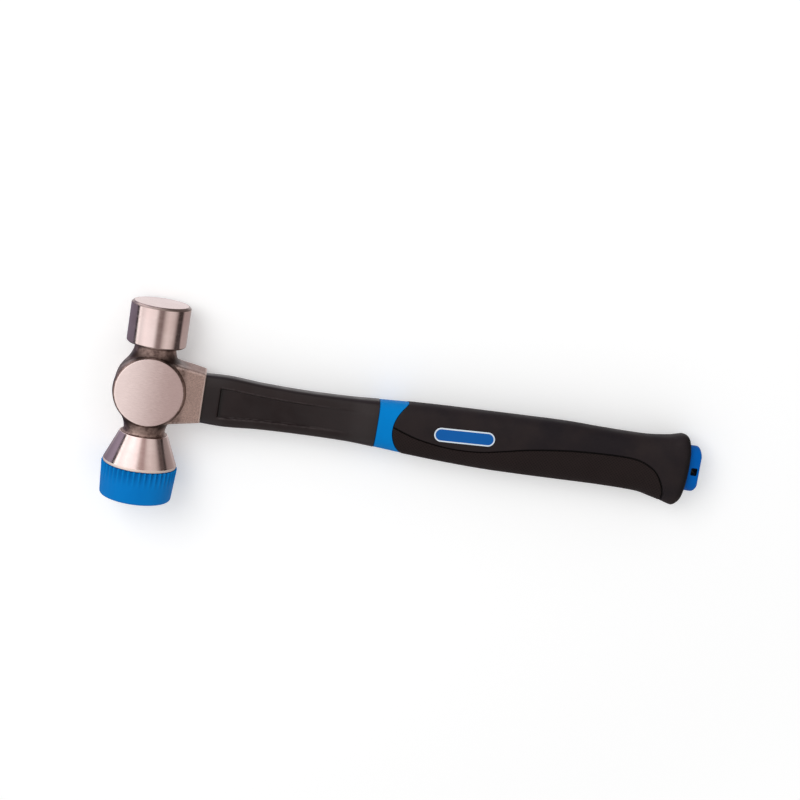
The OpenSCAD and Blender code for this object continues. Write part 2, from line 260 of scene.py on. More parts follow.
class Skin:
    """Faces of one piece, gathered in millimetres and laid into the frame at the end."""

    MERGE: ClassVar[float] = 2e-6
    NO_LENGTH: ClassVar[float] = 1e-7

    def __init__(self, name: str) -> None:
        """Starts an empty skin.

        Args:
            name: Name of the piece.
        """
        self.name = name
        self.points: list[Array] = []
        self.faces: list[tuple[int, ...]] = []
        self.slots: list[int] = []
        self.masks: dict[Mask, list[Array]] = {mask: [] for mask in Mask}
        self.count = 0

    def add_points(self, points: Array, edge: Share = 0.0, hollow: Share = 0.0) -> int:
        """Adds points with their masks.

        Args:
            points: Points in rows and columns, by 3.
            edge: How far each takes a lighter colour, mostly a painted highlight, from 0 to 1.
            hollow: How far each takes painted shade, from 0 to 1.

        Returns:
            The index of the first point.
        """
        start = self.count
        self.points.append(points.reshape(-1, 3))
        self.count += len(self.points[-1])
        for mask, value in ((Mask.EDGE, edge), (Mask.PAINTED_SHADE, hollow)):
            self.masks[mask].append(np.broadcast_to(value, points.shape[:-1]).ravel())
        return start

    def sheet(self, grid: Array, wrap: bool = False, slot: int = 0, edge: Share = 0.0,
              hollow: Share = 0.0) -> None:
        """Adds a sheet of quads.

        Args:
            grid: Points as rows by columns by 3.
            wrap: Whether the last column joins the first.
            slot: Index of the finish that the sheet takes.
            edge: Mask of its lighter colour, mostly a painted highlight.
            hollow: Mask of its painted shade.
        """
        rows, columns = grid.shape[:2]
        start = self.add_points(grid, edge, hollow)
        for i in range(rows - 1):
            for j in range(columns if wrap else columns - 1):
                a = start + i * columns + j
                b = start + i * columns + (j + 1) % columns
                self.faces.append((a, b, b + columns, a + columns))
                self.slots.append(int(slot))

    def cap(self, ring: Array, slot: int = 0, hollow: float = 0.0) -> None:
        """Closes a ring of points by triangles round its middle.

        Args:
            ring: Points round the opening, by 3.
            slot: Index of the finish that the triangles take.
            hollow: How far they take painted shade.
        """
        start = self.add_points(np.vstack([ring, ring.mean(axis=0)]), hollow=hollow)
        count = len(ring)
        for j in range(count):
            self.faces.append((start + j, start + (j + 1) % count, start + count))
            self.slots.append(int(slot))

    def tube(self, grid: Array, edge: Share = 0.0, hollow: Share = 0.0, ends: float = 0.0) -> None:
        """Adds a tube that is closed over its first and its last row.

        Args:
            grid: Points as rows by columns by 3.
            edge: Mask of its lighter colour, mostly a painted highlight.
            hollow: Mask of its painted shade.
            ends: How far its two end caps take painted shade.
        """
        self.cap(grid[0], hollow=ends)
        self.sheet(grid, wrap=True, edge=edge, hollow=hollow)
        self.cap(grid[-1], hollow=ends)

    def lay(self, datum: Datum, finishes: Sequence[bpy.types.Material],
            crease: float) -> bpy.types.Object:
        """Makes the mesh object.

        Args:
            datum: Axes to lay the points on.
            finishes: Materials, in the order of the slots.
            crease: Angle in degrees above which an edge stays sharp.

        Returns:
            The object, linked to the scene.
        """
        mesh = bpy.data.meshes.new(self.name)
        mesh.from_pydata(datum.lay(np.vstack(self.points)).tolist(), [], self.faces)
        mesh.polygons.foreach_set("material_index", self.slots)
        for mask, stretches in self.masks.items():
            layer = mesh.attributes.new(mask.value, "FLOAT", "POINT")
            layer.data.foreach_set("value", np.concatenate(stretches).astype(np.float32))
        work = bmesh.new()
        work.from_mesh(mesh)
        bmesh.ops.remove_doubles(work, verts=work.verts, dist=self.MERGE)
        bmesh.ops.dissolve_degenerate(work, edges=work.edges, dist=self.NO_LENGTH)
        bmesh.ops.recalc_face_normals(work, faces=work.faces)
        work.to_mesh(mesh)
        work.free()
        for finish in finishes:
            mesh.materials.append(finish)
        mesh.shade_smooth()
        mesh.set_sharp_from_angle(angle=math.radians(crease))
        return stand(self.name, mesh)


def settle(piece: bpy.types.Object, body: Body, nodes: Sequence[str], slot: str) -> bpy.types.Object:
    """Ties a piece to its body and hides the nodes that it stands for.

    Args:
        piece: The finished piece.
        body: Body that it rides on.
        nodes: Nodes of the frame that it stands for.
        slot: Not used.

    Returns:
        The piece.
    """
    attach(piece, body.value)
    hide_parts(*nodes)
    faces = len(piece.data.polygons)
    LOG.info("%s: %d faces on %s for %s", piece.name, faces, body.value, ", ".join(nodes))
    return piece


class Graph:
    """A node tree with short calls for adding and joining nodes."""

    def __init__(self, tree: bpy.types.NodeTree) -> None:
        """Wraps a node tree."""
        self.tree = tree

    @classmethod
    def of(cls, owner: bpy.types.Material | bpy.types.World) -> "Graph":
        """Starts an empty node tree.

        Args:
            owner: Material or world that gets it.

        Returns:
            Its graph.
        """
        owner.use_nodes = True
        owner.node_tree.nodes.clear()
        return cls(owner.node_tree)

    def add(self, kind: str, settings: dict | None = None, **inputs: object) -> bpy.types.Node:
        """Adds a node.

        Args:
            kind: Node type, without its ShaderNode prefix.
            settings: Attributes of the node.
            **inputs: Values or output sockets for its inputs, as socket() finds them.

        Returns:
            The node.
        """
        node = self.tree.nodes.new("ShaderNode" + kind)
        for key, value in (settings or {}).items():
            setattr(node, key, value)
        for key, value in inputs.items():
            self.feed(self.socket(node, key), value)
        return node

    @staticmethod
    def socket(node: bpy.types.Node, key: str) -> Socket:
        """Finds an input of a node.

        Args:
            node: The node.
            key: The input's name, with spaces written as _, or in0, in1 and so on.

        Returns:
            The input.
        """
        if key.startswith("in") and key[2:].isdigit():
            return node.inputs[int(key[2:])]
        return node.inputs[key.replace("_", " ")]

    def feed(self, socket: Socket, value: object) -> None:
        """Links an output to an input, or sets the input's own value.

        Args:
            socket: The input.
            value: An output, or a value that is the same all over the surface.
        """
        if isinstance(value, Socket):
            self.tree.links.new(value, socket)
        elif isinstance(value, tuple) and socket.type == "RGBA":
            socket.default_value = (*value, 1)
        else:
            socket.default_value = value

    def math(self, operation: str, a: object, b: object = 0.0) -> Socket:
        """Gives the result of a sum on two values."""
        return self.add("Math", {"operation": operation}, in0=a, in1=b).outputs[0]

    def span(self, value: object, low: float, high: float, to_low: float, to_high: float) -> Socket:
        """Maps a value smoothly from one span to another.

        Args:
            value: The value.
            low: Start of its span.
            high: End of its span.
            to_low: Result at the start.
            to_high: Result at the end.

        Returns:
            The result.
        """
        return self.add(
            "MapRange", {"interpolation_type": "SMOOTHSTEP"}, Value=value,
            From_Min=low, From_Max=high, To_Min=to_low, To_Max=to_high,
        ).outputs["Result"]

    def mix(self, share: object, a: object, b: object) -> Socket:
        """Mixes two colours."""
        return self.add("Mix", {"data_type": "RGBA"}, in0=share, in6=a, in7=b).outputs[2]

    def mix_values(self, share: object, a: object, b: object) -> Socket:
        """Mixes two values."""
        return self.add("Mix", {"data_type": "FLOAT"}, in0=share, in2=a, in3=b).outputs[0]

    def shade(self, kind: str, **inputs: object) -> Socket:
        """Adds a shader, or a mix of two, and gives its output."""
        return self.add(kind, None, **inputs).outputs[0]


class Surface(Graph):
    """The graph of a new material, with its principled shader and the place on the object."""

    def __init__(self, name: str) -> None:
        """Starts the material.

        Args:
            name: Name of the material.
        """
        self.material = bpy.data.materials.new(name)
        self.material.use_nodes = True
        super().__init__(self.material.node_tree)
        self.tree.nodes.clear()
        self.shader = self.add("BsdfPrincipled")
        self.add("OutputMaterial", Surface=self.shader.outputs["BSDF"])
        self.place = self.add("TexCoord").outputs["Object"]

    def effect(self, effect: Effect, **inputs: object) -> bpy.types.Node:
        """Places a shared node group on the object, with its own values."""
        group = bpy.data.node_groups[effect.value]
        return self.add("Group", {"node_tree": group}, Vector=self.place, **inputs)

    def tone(self, scale: float, colour: Colour, other: Colour) -> Socket:
        """Gives a colour that drifts between two tones."""
        return self.effect(Effect.TONE, Scale=scale, Colour=colour, Other=other).outputs["Colour"]

    def dress(self, **inputs: object) -> None:
        """Feeds or sets inputs of the shader, named as socket() finds them."""
        for key, value in inputs.items():
            self.feed(self.socket(self.shader, key), value)

    def bump(self, height: Socket, depth: float, strength: float) -> None:
        """Feeds a height, with its depth in metres, into the shader's normal."""
        relief = self.add("Bump", Height=height, Distance=depth, Strength=strength)
        self.dress(Normal=relief.outputs["Normal"])


@dataclass(frozen=True)
class SharedEffects:
    """Builder of the shader node groups, with the values that all their uses share."""

    pit_smooth: float = 0.4
    dust_detail: float = 3.0
    dust_rough: float = 0.62
    drift_share: float = 0.06
    slow_detail: float = 2.0
    streak_detail: float = 4.0
    streak_rough: float = 0.6
    broad_share: float = 0.22
    cloud_detail: float = 4.0
    cloud_rough: float = 0.55
    cloud_low: float = 0.32
    cloud_high: float = 0.68
    patch_detail: float = 3.0
    patch_low: float = 0.35
    patch_high: float = 0.6
    patch_least: float = 0.25

    @staticmethod
    def start(effect: Effect, inputs: dict[str, str],
              outputs: dict[str, str]) -> tuple[Graph, dict[str, Socket], bpy.types.Node]:
        """Makes an empty group.

        Args:
            effect: Which group it is.
            inputs: Socket types of its inputs, by name.
            outputs: Socket types of its outputs, by name.

        Returns:
            Its graph, what comes in by name, and its output node.
        """
        tree = bpy.data.node_groups.new(effect.value, "ShaderNodeTree")
        for direction, sockets in (("INPUT", inputs), ("OUTPUT", outputs)):
            for label, kind in sockets.items():
                tree.interface.new_socket(label, in_out=direction, socket_type="NodeSocket" + kind)
        given = tree.nodes.new("NodeGroupInput").outputs
        return Graph(tree), {label: given[label] for label in inputs}, tree.nodes.new("NodeGroupOutput")

    def build(self) -> None:
        """Builds every group."""
        for make in (self.fine_grain, self.long_streaks, self.tone_drift, self.edge_wear):
            make()

    def fine_grain(self) -> None:
        """Builds fine pits of a moulded or blasted skin, with a slow drift of their strength."""
        graph, given, result = self.start(
            Effect.GRAIN, {"Vector": "Vector", "Scale": "Float", "Roundness": "Float"},
            {"Height": "Float", "Drift": "Float"},
        )
        place, scale = given["Vector"], given["Scale"]
        pits = graph.add("TexVoronoi", {"feature": "SMOOTH_F1"}, Vector=place, Scale=scale,
                         Smoothness=self.pit_smooth)
        dust = graph.add("TexNoise", Vector=place, Scale=scale, Detail=self.dust_detail,
                         Roughness=self.dust_rough)
        slow = graph.math("MULTIPLY", scale, self.drift_share)
        drift = graph.add("TexNoise", Vector=place, Scale=slow, Detail=self.slow_detail)
        height = graph.mix_values(given["Roundness"], dust.outputs["Fac"], pits.outputs["Distance"])
        graph.feed(result.inputs["Height"], height)
        graph.feed(result.inputs["Drift"], drift.outputs["Fac"])

    def long_streaks(self) -> None:
        """Builds grinding and turning lines that run across the head's axis."""
        graph, given, result = self.start(
            Effect.STREAKS, {"Vector": "Vector", "Fine": "Float", "Along": "Float"},
            {"Streak": "Float", "Broad": "Float"},
        )
        pace = graph.add("CombineXYZ", X=given["Along"], Y=given["Fine"], Z=given["Along"])
        drawn = graph.add("VectorMath", {"operation": "MULTIPLY"}, in0=given["Vector"],
                          in1=pace.outputs[0])
        fine = graph.add("TexNoise", Vector=drawn.outputs[0], Scale=1.0, Detail=self.streak_detail,
                         Roughness=self.streak_rough)
        broad = graph.add("TexNoise", Vector=drawn.outputs[0], Scale=self.broad_share,
                          Detail=self.slow_detail)
        for label, noise in (("Streak", fine), ("Broad", broad)):
            full = graph.span(noise.outputs["Fac"], NOISE_LOW, NOISE_HIGH, 0.0, 1.0)
            graph.feed(result.inputs[label], full)

    def tone_drift(self) -> None:
        """Builds a colour that drifts slowly lighter and darker over the surface."""
        graph, given, result = self.start(
            Effect.TONE, {"Vector": "Vector", "Scale": "Float", "Colour": "Color", "Other": "Color"},
            {"Colour": "Color"},
        )
        cloud = graph.add("TexNoise", Vector=given["Vector"], Scale=given["Scale"],
                          Detail=self.cloud_detail, Roughness=self.cloud_rough)
        share = graph.span(cloud.outputs["Fac"], self.cloud_low, self.cloud_high, 0.0, 1.0)
        graph.feed(result.inputs["Colour"], graph.mix(share, given["Colour"], given["Other"]))

    def edge_wear(self) -> None:
        """Builds a broken mask of the lighter edge colour, mostly a painted highlight, and passes on the
        mask of painted shade.
        """
        graph, given, result = self.start(
            Effect.WEAR_AND_PAINTED_LIGHT, {"Vector": "Vector", "Scale": "Float"}, {"Mask": "Float", "Hollow": "Float"},
        )
        edge, hollow = (
            graph.add("Attribute", {"attribute_name": mask.value}).outputs["Fac"]
            for mask in (Mask.EDGE, Mask.PAINTED_SHADE)
        )
        broken = graph.add("TexNoise", Vector=given["Vector"], Scale=given["Scale"],
                           Detail=self.patch_detail).outputs["Fac"]
        patches = graph.span(broken, self.patch_low, self.patch_high, self.patch_least, 1.0)
        graph.feed(result.inputs["Mask"], graph.math("MULTIPLY", edge, patches))
        graph.feed(result.inputs["Hollow"], hollow)


@dataclass(frozen=True)
class TurnedSteel:
    """Steel turned bright on a lathe, with fine rings round the head's axis."""

    name: str
    colour: Colour = (0.92, 0.755, 0.725)
    shaded: Colour = (0.85, 0.675, 0.645)
    tone_scale: float = 70.0
    roughness: float = 0.15
    smoothest: float = 0.8
    roughest: float = 1.35
    metal: float = 1.0
    ring_scale: float = 5200.0
    ring_along: float = 14.0
    ring_depth: float = 2e-6
    ring_strength: float = 0.35

    def material(self) -> bpy.types.Material:
        """Builds the material.

        Returns:
            The finished material.
        """
        surface = Surface(self.name)
        rings = surface.effect(Effect.STREAKS, Fine=self.ring_scale, Along=self.ring_along)
        low, high = self.roughness * self.smoothest, self.roughness * self.roughest
        surface.dress(
            Metallic=self.metal,
            Base_Color=surface.tone(self.tone_scale, self.colour, self.shaded),
            Roughness=surface.span(rings.outputs["Broad"], 0.0, 1.0, low, high),
        )
        surface.bump(rings.outputs["Streak"], self.ring_depth, self.ring_strength)
        return surface.material


@dataclass(frozen=True)
class ForgedSteel:
    """Blasted forging with a brown bloom, whose cheeks are ground flat and brushed.

    Places are in metres: the levels of the two cheeks across the head, the head's axis, and how
    far down the handle from that axis the socket's boss and its mouth lie.
    """

    name: str
    cheek_low: float
    cheek_high: float
    axis_x: float
    cheek_r: float
    mouth_x: float
    cheek_start: float = 1.2e-4
    cheek_full: float = 4e-5
    boss_x: float = 0.0165
    boss_run: float = 0.004
    mouth_start: float = 0.0011
    mouth_full: float = 0.0003
    mouth_worn_and_painted_highlight: float = 0.85
    dark: Colour = (0.2, 0.137, 0.121)
    brown: Colour = (0.44, 0.318, 0.28)
    pale: Colour = (0.66, 0.49, 0.43)
    # Lighter colour at the socket's corners and mouth: scuffing and a painted highlight.
    worn_and_painted_highlight: Colour = (0.95, 0.8, 0.74)
    join_painted_shade: Colour = (0.07, 0.047, 0.041)
    # Lit colour of the ground cheeks and its darker copy, a painted shade.
    ground: Colour = (1.0, 0.82, 0.785)
    ground_painted_shade: Colour = (0.5, 0.352, 0.33)
    ground_metal: float = 0.3
    shade_end: float = 0.8
    streak_share: float = 0.13
    tone_scale: float = 420.0
    boss_tone_scale: float = 1700.0
    wear_scale: float = 900.0
    grain_scale: float = 2600.0
    grain_round: float = 0.35
    brush_fine: float = 9000.0
    brush_along: float = 420.0
    brush_height: float = 0.06
    skin_rough: tuple[float, float] = (0.34, 0.5)
    cheek_rough: tuple[float, float] = (0.3, 0.4)
    boss_rough: float = 0.09
    depth: float = 9e-5
    strength: float = 0.75

    def on_cheeks(self, surface: Surface, level: Socket) -> Socket:
        """Finds the ground cheeks by their level across the head.

        Args:
            surface: The material's graph.
            level: Place across the head.

        Returns:
            Mask of both cheeks.
        """
        high, low = self.cheek_high, self.cheek_low
        above = surface.span(level, high - self.cheek_start, high - self.cheek_full, 0.0, 1.0)
        below = surface.span(level, low + self.cheek_full, low + self.cheek_start, 1.0, 0.0)
        return surface.math("MAXIMUM", above, below)

    def skin_colour(self, surface: Surface, out: Socket, on_boss: Socket) -> Socket:
        """Colours the blasted skin, with painted shade in its joins, and lighter at its socket's corners
        and mouth.

        Args:
            surface: The material's graph.
            out: Place down the handle from the head's axis.
            on_boss: Mask of the socket's boss.

        Returns:
            The colour.
        """
        wear = surface.effect(Effect.WEAR_AND_PAINTED_LIGHT, Scale=self.wear_scale)
        forged = surface.tone(self.tone_scale, self.dark, self.brown)
        boss = surface.tone(self.boss_tone_scale, self.brown, self.pale)
        skin = surface.mix(on_boss, forged, boss)
        # Painted shade in the joins between forms.
        skin = surface.mix(wear.outputs["Hollow"], skin, self.join_painted_shade)
        # Lighter at the socket's mouth and corners: scuffing and a painted highlight.
        start, full = self.mouth_x - self.mouth_start, self.mouth_x - self.mouth_full
        at_mouth = surface.span(out, start, full, 0.0, self.mouth_worn_and_painted_highlight)
        return surface.mix(surface.math("MAXIMUM", wear.outputs["Mask"], at_mouth), skin, self.worn_and_painted_highlight)

    def ground_colour(self, surface: Surface, out: Socket, streak: Socket) -> Socket:
        """Colours the ground cheeks, with painted shade that darkens them towards the handle, and streaky
        from the brush.

        Args:
            surface: The material's graph.
            out: Place down the handle from the head's axis.
            streak: The brush lines.

        Returns:
            The colour.
        """
        # Painted shade, darkening the cheeks towards the handle.
        painted_cheek_shade = surface.span(out, -self.cheek_r, self.cheek_r * self.shade_end, 0.0, 1.0)
        lines = surface.span(streak, 0.0, 1.0, -self.streak_share, self.streak_share)
        return surface.mix(surface.math("ADD", painted_cheek_shade, lines), self.ground, self.ground_painted_shade)

    def material(self) -> bpy.types.Material:
        """Builds the material.

        Returns:
            The finished material.
        """
        surface = Surface(self.name)
        axes = surface.add("SeparateXYZ", Vector=surface.place)
        blasted = surface.effect(Effect.GRAIN, Scale=self.grain_scale, Roundness=self.grain_round)
        brushed = surface.effect(Effect.STREAKS, Fine=self.brush_fine, Along=self.brush_along)
        out = surface.math("SUBTRACT", axes.outputs["X"], self.axis_x)
        on_boss = surface.span(out, self.boss_x, self.boss_x + self.boss_run, 0.0, 1.0)
        on_cheek = self.on_cheeks(surface, axes.outputs["Z"])
        skin = self.skin_colour(surface, out, on_boss)
        ground = self.ground_colour(surface, out, brushed.outputs["Streak"])
        cheek_rough = surface.span(brushed.outputs["Broad"], 0.0, 1.0, *self.cheek_rough)
        skin_rough = surface.span(blasted.outputs["Drift"], NOISE_LOW, NOISE_HIGH, *self.skin_rough)
        boss_rough = surface.math("MULTIPLY", on_boss, self.boss_rough)
        skin_rough = surface.math("ADD", skin_rough, boss_rough)
        surface.dress(
            Metallic=surface.span(on_cheek, 0.0, 1.0, 1.0, self.ground_metal),
            Base_Color=surface.mix(on_cheek, skin, ground),
            Roughness=surface.mix_values(on_cheek, skin_rough, cheek_rough),
        )
        lines = surface.math("MULTIPLY", brushed.outputs["Streak"], self.brush_height)
        height = surface.mix_values(on_cheek, blasted.outputs["Height"], lines)
        surface.bump(height, self.depth, self.strength)
        return surface.material


@dataclass(frozen=True)
class MouldedPlastic:
    """Satin moulded plastic with a fine skin, a slow drift of tone, a painted highlight along marked
    edges and painted shade in marked hollows.
    """

    name: str
    colour: Colour
    other: Colour
    rubbed_and_painted_highlight: Colour
    roughness: float
    specular: float
    rough_less: float = 0.04
    rough_more: float = 0.05
    tone_scale: float = 45.0
    wear_scale: float = 600.0
    grain_scale: float = 2400.0
    grain_depth: float = 1.2e-5
    grain_strength: float = 0.6
    roundness: float = 0.2
    edge_share: float = 0.6
    hollow_shade: float = 0.3

    def relief(self, surface: Surface, grain: Socket) -> Socket:
        """Height of the skin's own relief, here its grain alone."""
        return grain

    def rub_and_painted_highlight(self, surface: Surface, edges: Socket, height: Socket) -> Socket:
        """Share of the lighter colour, here a painted highlight along the marked edges alone."""
        return surface.math("MULTIPLY", edges, self.edge_share)

    def material(self) -> bpy.types.Material:
        """Builds the material.

        Returns:
            The finished material.
        """
        surface = Surface(self.name)
        grain = surface.effect(Effect.GRAIN, Scale=self.grain_scale, Roundness=self.roundness)
        wear = surface.effect(Effect.WEAR_AND_PAINTED_LIGHT, Scale=self.wear_scale)
        tone = surface.tone(self.tone_scale, self.colour, self.other)
        height = self.relief(surface, grain.outputs["Height"])
        # The lighter colour is a painted highlight along marked edges; on the knurl it lies on the
        # ridges.
        worn_and_painted_highlight = surface.mix(self.rub_and_painted_highlight(surface, wear.outputs["Mask"], height), tone, self.rubbed_and_painted_highlight)
        # A darker copy of the colour, painted shade where the shade mask is set.
        deep = tuple(channel * self.hollow_shade for channel in self.other)
        low, high = self.roughness - self.rough_less, self.roughness + self.rough_more
        surface.dress(
            Base_Color=surface.mix(wear.outputs["Hollow"], worn_and_painted_highlight, deep),
            Roughness=surface.span(grain.outputs["Drift"], NOISE_LOW, NOISE_HIGH, low, high),
            Specular_IOR_Level=self.specular,
        )
        surface.bump(height, self.grain_depth, self.grain_strength)
        return surface.material


@dataclass(frozen=True)
class KnurledRubber(MouldedPlastic):
    """Soft rubber moulded with a fine diamond pattern that wraps round the grip."""

    axis_y: float = 0.0
    axis_z: float = 0.0
    pitch: float = 0.0013
    ridges_round: int = 50
    ridge_low: float = -0.6
    ridge_height: float = 0.75
    grain_share: float = 0.25
    ridge_share: float = 0.7
    rub_low: float = 0.3
    rub_high: float = 0.9

    def relief(self, surface: Surface, grain: Socket) -> Socket:
        """Height of crossing ridges with a little grain on them.

        Args:
            surface: The material's graph.
            grain: Height of the grain.

        Returns:
            The height.
        """
        axes = surface.add("SeparateXYZ", Vector=surface.place)
        along = surface.math("MULTIPLY", axes.outputs["X"], math.sqrt(2) * math.pi / self.pitch)
        up = surface.math("SUBTRACT", axes.outputs["Y"], self.axis_y)
        out = surface.math("SUBTRACT", axes.outputs["Z"], self.axis_z)
        around = surface.math("MULTIPLY", surface.math("ARCTAN2", up, out), self.ridges_round)
        waves = [surface.math("SINE", surface.math(turn, along, around)) for turn in ("ADD", "SUBTRACT")]
        crossed = surface.math("MAXIMUM", *waves)
        diamonds = surface.span(crossed, self.ridge_low, 1.0, 0.0, self.ridge_height)
        return surface.math("ADD", diamonds, surface.math("MULTIPLY", grain, self.grain_share))

    def rub_and_painted_highlight(self, surface: Surface, edges: Socket, height: Socket) -> Socket:
        """Share of the lighter colour, which lies on the ridges."""
        return surface.span(height, self.rub_low, self.rub_high, 0.0, self.ridge_share)


@dataclass(frozen=True)
class CastResin:
    """Cast resin or drawn glass fibre, inside the head's eye and the handle."""

    name: str
    colour: Colour = (0.05, 0.04, 0.034)
    other: Colour = (0.028, 0.022, 0.019)
    roughness: float = 0.34
    rough_less: float = 0.06
    rough_more: float = 0.1
    tone_scale: float = 240.0
    grain_scale: float = 900.0
    grain_round: float = 0.5
    grain_depth: float = 4e-5
    grain_strength: float = 0.5

    def material(self) -> bpy.types.Material:
        """Builds the material.

        Returns:
            The finished material.
        """
        surface = Surface(self.name)
        grain = surface.effect(Effect.GRAIN, Scale=self.grain_scale, Roundness=self.grain_round)
        low, high = self.roughness - self.rough_less, self.roughness + self.rough_more
        surface.dress(
            Base_Color=surface.tone(self.tone_scale, self.colour, self.other),
            Roughness=surface.span(grain.outputs["Drift"], NOISE_LOW, NOISE_HIGH, low, high),
        )
        surface.bump(grain.outputs["Height"], self.grain_depth, self.grain_strength)
        return surface.material


@dataclass(frozen=True)
class ForgedHead:
    """Steel head: turned striking face, round body with ground cheeks, socket and flared poll.

    The forging between the two turned ends is a distance field. Its methods take places as X, Y
    and Z arrays in one array, and a distance is less than 0 inside.
    """

    datum: Datum
    face_r: float = 16.25
    face_len: float = 22.9
    face_bevel: float = 1.2
    face_soft: float = 0.35
    neck_r: float = 11.2
    neck_fillet: float = 2.6
    body_r: float = 20.3
    cheek_r: float = 18.5
    cheek_half: float = 13.0
    cheek_chamfer: float = 0.9
    cheek_soft: float = 0.25
    core_half: float = 9.0
    core_sink: float = 0.3
    core_soft: float = 6.0
    poll_reach: float = 25.2
    poll_top_r: float = 13.2
    poll_rim_r: float = 20.15
    poll_len: float = 16.4
    poll_soft: float = 0.3
    shoulder_in: float = 0.6
    rim_h: float = 1.3
    rim_bevel: float = 0.3
    spigot_r: float = 16.5
    spigot_len: float = 9.0
    socket_h: float = 27.6
    socket_w: float = 18.5
    socket_rise: float = 3.1
    socket_flare: float = 3.2
    socket_run: float = 19.0
    socket_corner: float = 1.8
    eye_h: float = 20.0
    eye_w: float = 12.0
    eye_flare: float = 1.6
    eye_flare_most: float = 1.1
    eye_depth: float = 3.0
    eye_soft: float = 0.4
    edge: float = 0.8
    forged_blend: float = 7.0
    socket_blend: float = 2.2
    disc_blend: float = 0.7
    corner_wear_and_painted_highlight: float = 0.5
    wear_near: float = 0.1
    wear_far: float = 0.5
    join_start: float = 0.4
    socket_half_turn: float = 34.0
    eye_half_turn: float = 30.0
    socket_columns: int = 116
    eye_columns: int = 84
    side_columns: int = 104
    neck_low: float = -21.0
    neck_high: float = 20.0
    row_counts: tuple[int, int, int] = (18, 96, 17)
    row_gap: float = 0.2
    row_touch: float = 0.02
    row_top: float = 0.01
    search_near: float = 2.0
    search_far: float = 45.0
    halvings: int = 28
    crease: float = 35.0
    turned: TurnedSteel = TurnedSteel("turned_steel")
    rim: TurnedSteel = TurnedSteel(
        "turned_rim", colour=(0.95, 0.8, 0.73), shaded=(0.88, 0.72, 0.65), roughness=0.4, metal=0.55,
    )
    # Darker copy of the turned steel, painted shade on the chamfers and the underside.
    bevel: TurnedSteel = TurnedSteel(
        "turned_bevel", colour=(0.44, 0.35, 0.325), shaded=(0.36, 0.28, 0.26), roughness=0.3,
    )

    @property
    def under_y(self) -> float:
        """Height of the striking cylinder's underside."""
        return self.datum.face_y - self.face_len

    def body_field(self, at: Array) -> Array:
        """Measures the round body, which swells between its cheeks.

        Args:
            at: Places.

        Returns:
            Distances to it.
        """
        x, y, z = at
        shoulder_r = self.cheek_r + self.cheek_chamfer
        run = z / (self.cheek_half - self.cheek_chamfer)
        swell = self.body_r - (self.body_r - shoulder_r) * np.minimum(run * run, 1)
        taper = np.maximum(np.abs(z) - (self.cheek_half - self.cheek_chamfer), 0)
        side = np.hypot(x, y) - swell + taper
        return blend_max(side, np.abs(z) - self.cheek_half, self.cheek_soft)

    def core_field(self, at: Array) -> Array:
        """Measures the body's inner slab, which the necks run into."""
        side = np.hypot(at[0], at[1]) - self.body_r + self.core_sink
        return blend_max(side, np.abs(at[2]) - self.core_half, self.core_soft)

    def neck_field(self, at: Array) -> Array:
        """Measures the two necks, which widen under the striking cylinder and the poll.

        Args:
            at: Places.

        Returns:
            Distances to them.
        """
        x, y, z = at
        step_r = self.poll_top_r - self.neck_r
        up = np.clip(y - (self.under_y - self.neck_fillet), 0, self.neck_fillet)
        down = np.clip(-y - (self.poll_reach - step_r), 0, step_r)
        top = self.neck_fillet - np.sqrt(self.neck_fillet ** 2 - up ** 2)
        low = step_r - np.sqrt(step_r ** 2 - down ** 2)
        return np.hypot(x, z) - (self.neck_r + top + low)

    def past_socket(self, at: Array) -> tuple[Array, Array]:
        """Measures how far places lie past the flats of the socket, which swells towards the head.

        Args:
            at: Places.

        Returns:
            Distances up and distances across.
        """
        x, y, z = at
        run = np.clip((self.datum.socket_x - x) / self.socket_run, 0, 1)
        top = self.socket_h / 2 + self.socket_rise * run
        low = -self.socket_h / 2 - self.socket_flare * run
        half_w = self.socket_w / 2 + self.socket_flare / 2 * run
        out_y = np.abs(y - (top + low) / 2) - (top - low) / 2 + self.socket_corner
        return out_y, np.abs(z) - half_w + self.socket_corner

    def socket_field(self, at: Array) -> Array:
        """Measures the socket, with its rounded corners.

        Args:
            at: Places.

        Returns:
            Distances to it.
        """
        out_y, out_z = self.past_socket(at)
        corner = np.hypot(np.maximum(out_y, 0), np.maximum(out_z, 0))
        side = corner + np.minimum(np.maximum(out_y, out_z), 0)
        ends = np.maximum(at[0] - self.datum.socket_x, -at[0])
        return blend_max(side - self.socket_corner, ends, self.edge)

    def eye_field(self, at: Array) -> Array:
        """Measures the eye's mouth at the crown, which flares outwards.

        Args:
            at: Places.

        Returns:
            Distances to it.
        """
        x, y, z = at
        half_r = self.body_r / 2
        flare = self.eye_flare * np.clip((-x - half_r) / half_r, 0, self.eye_flare_most)
        half_w = self.eye_w / 2 + flare
        straight = (self.eye_h - self.eye_w) / 2
        ring = np.hypot(np.maximum(np.abs(y) - straight, 0), z) - half_w
        return np.maximum(ring, x + self.body_r - self.eye_depth)

    def field(self, at: Array) -> Array:
        """Measures the forging between the striking cylinder and the poll.

        Args:
            at: Places.

        Returns:
            Distances to it.
        """
        solid = blend_min(self.core_field(at), self.neck_field(at), self.forged_blend)
        solid = blend_min(solid, self.socket_field(at), self.socket_blend)
        solid = blend_min(solid, self.body_field(at), self.disc_blend)
        return blend_max(solid, -self.eye_field(at), self.eye_soft)

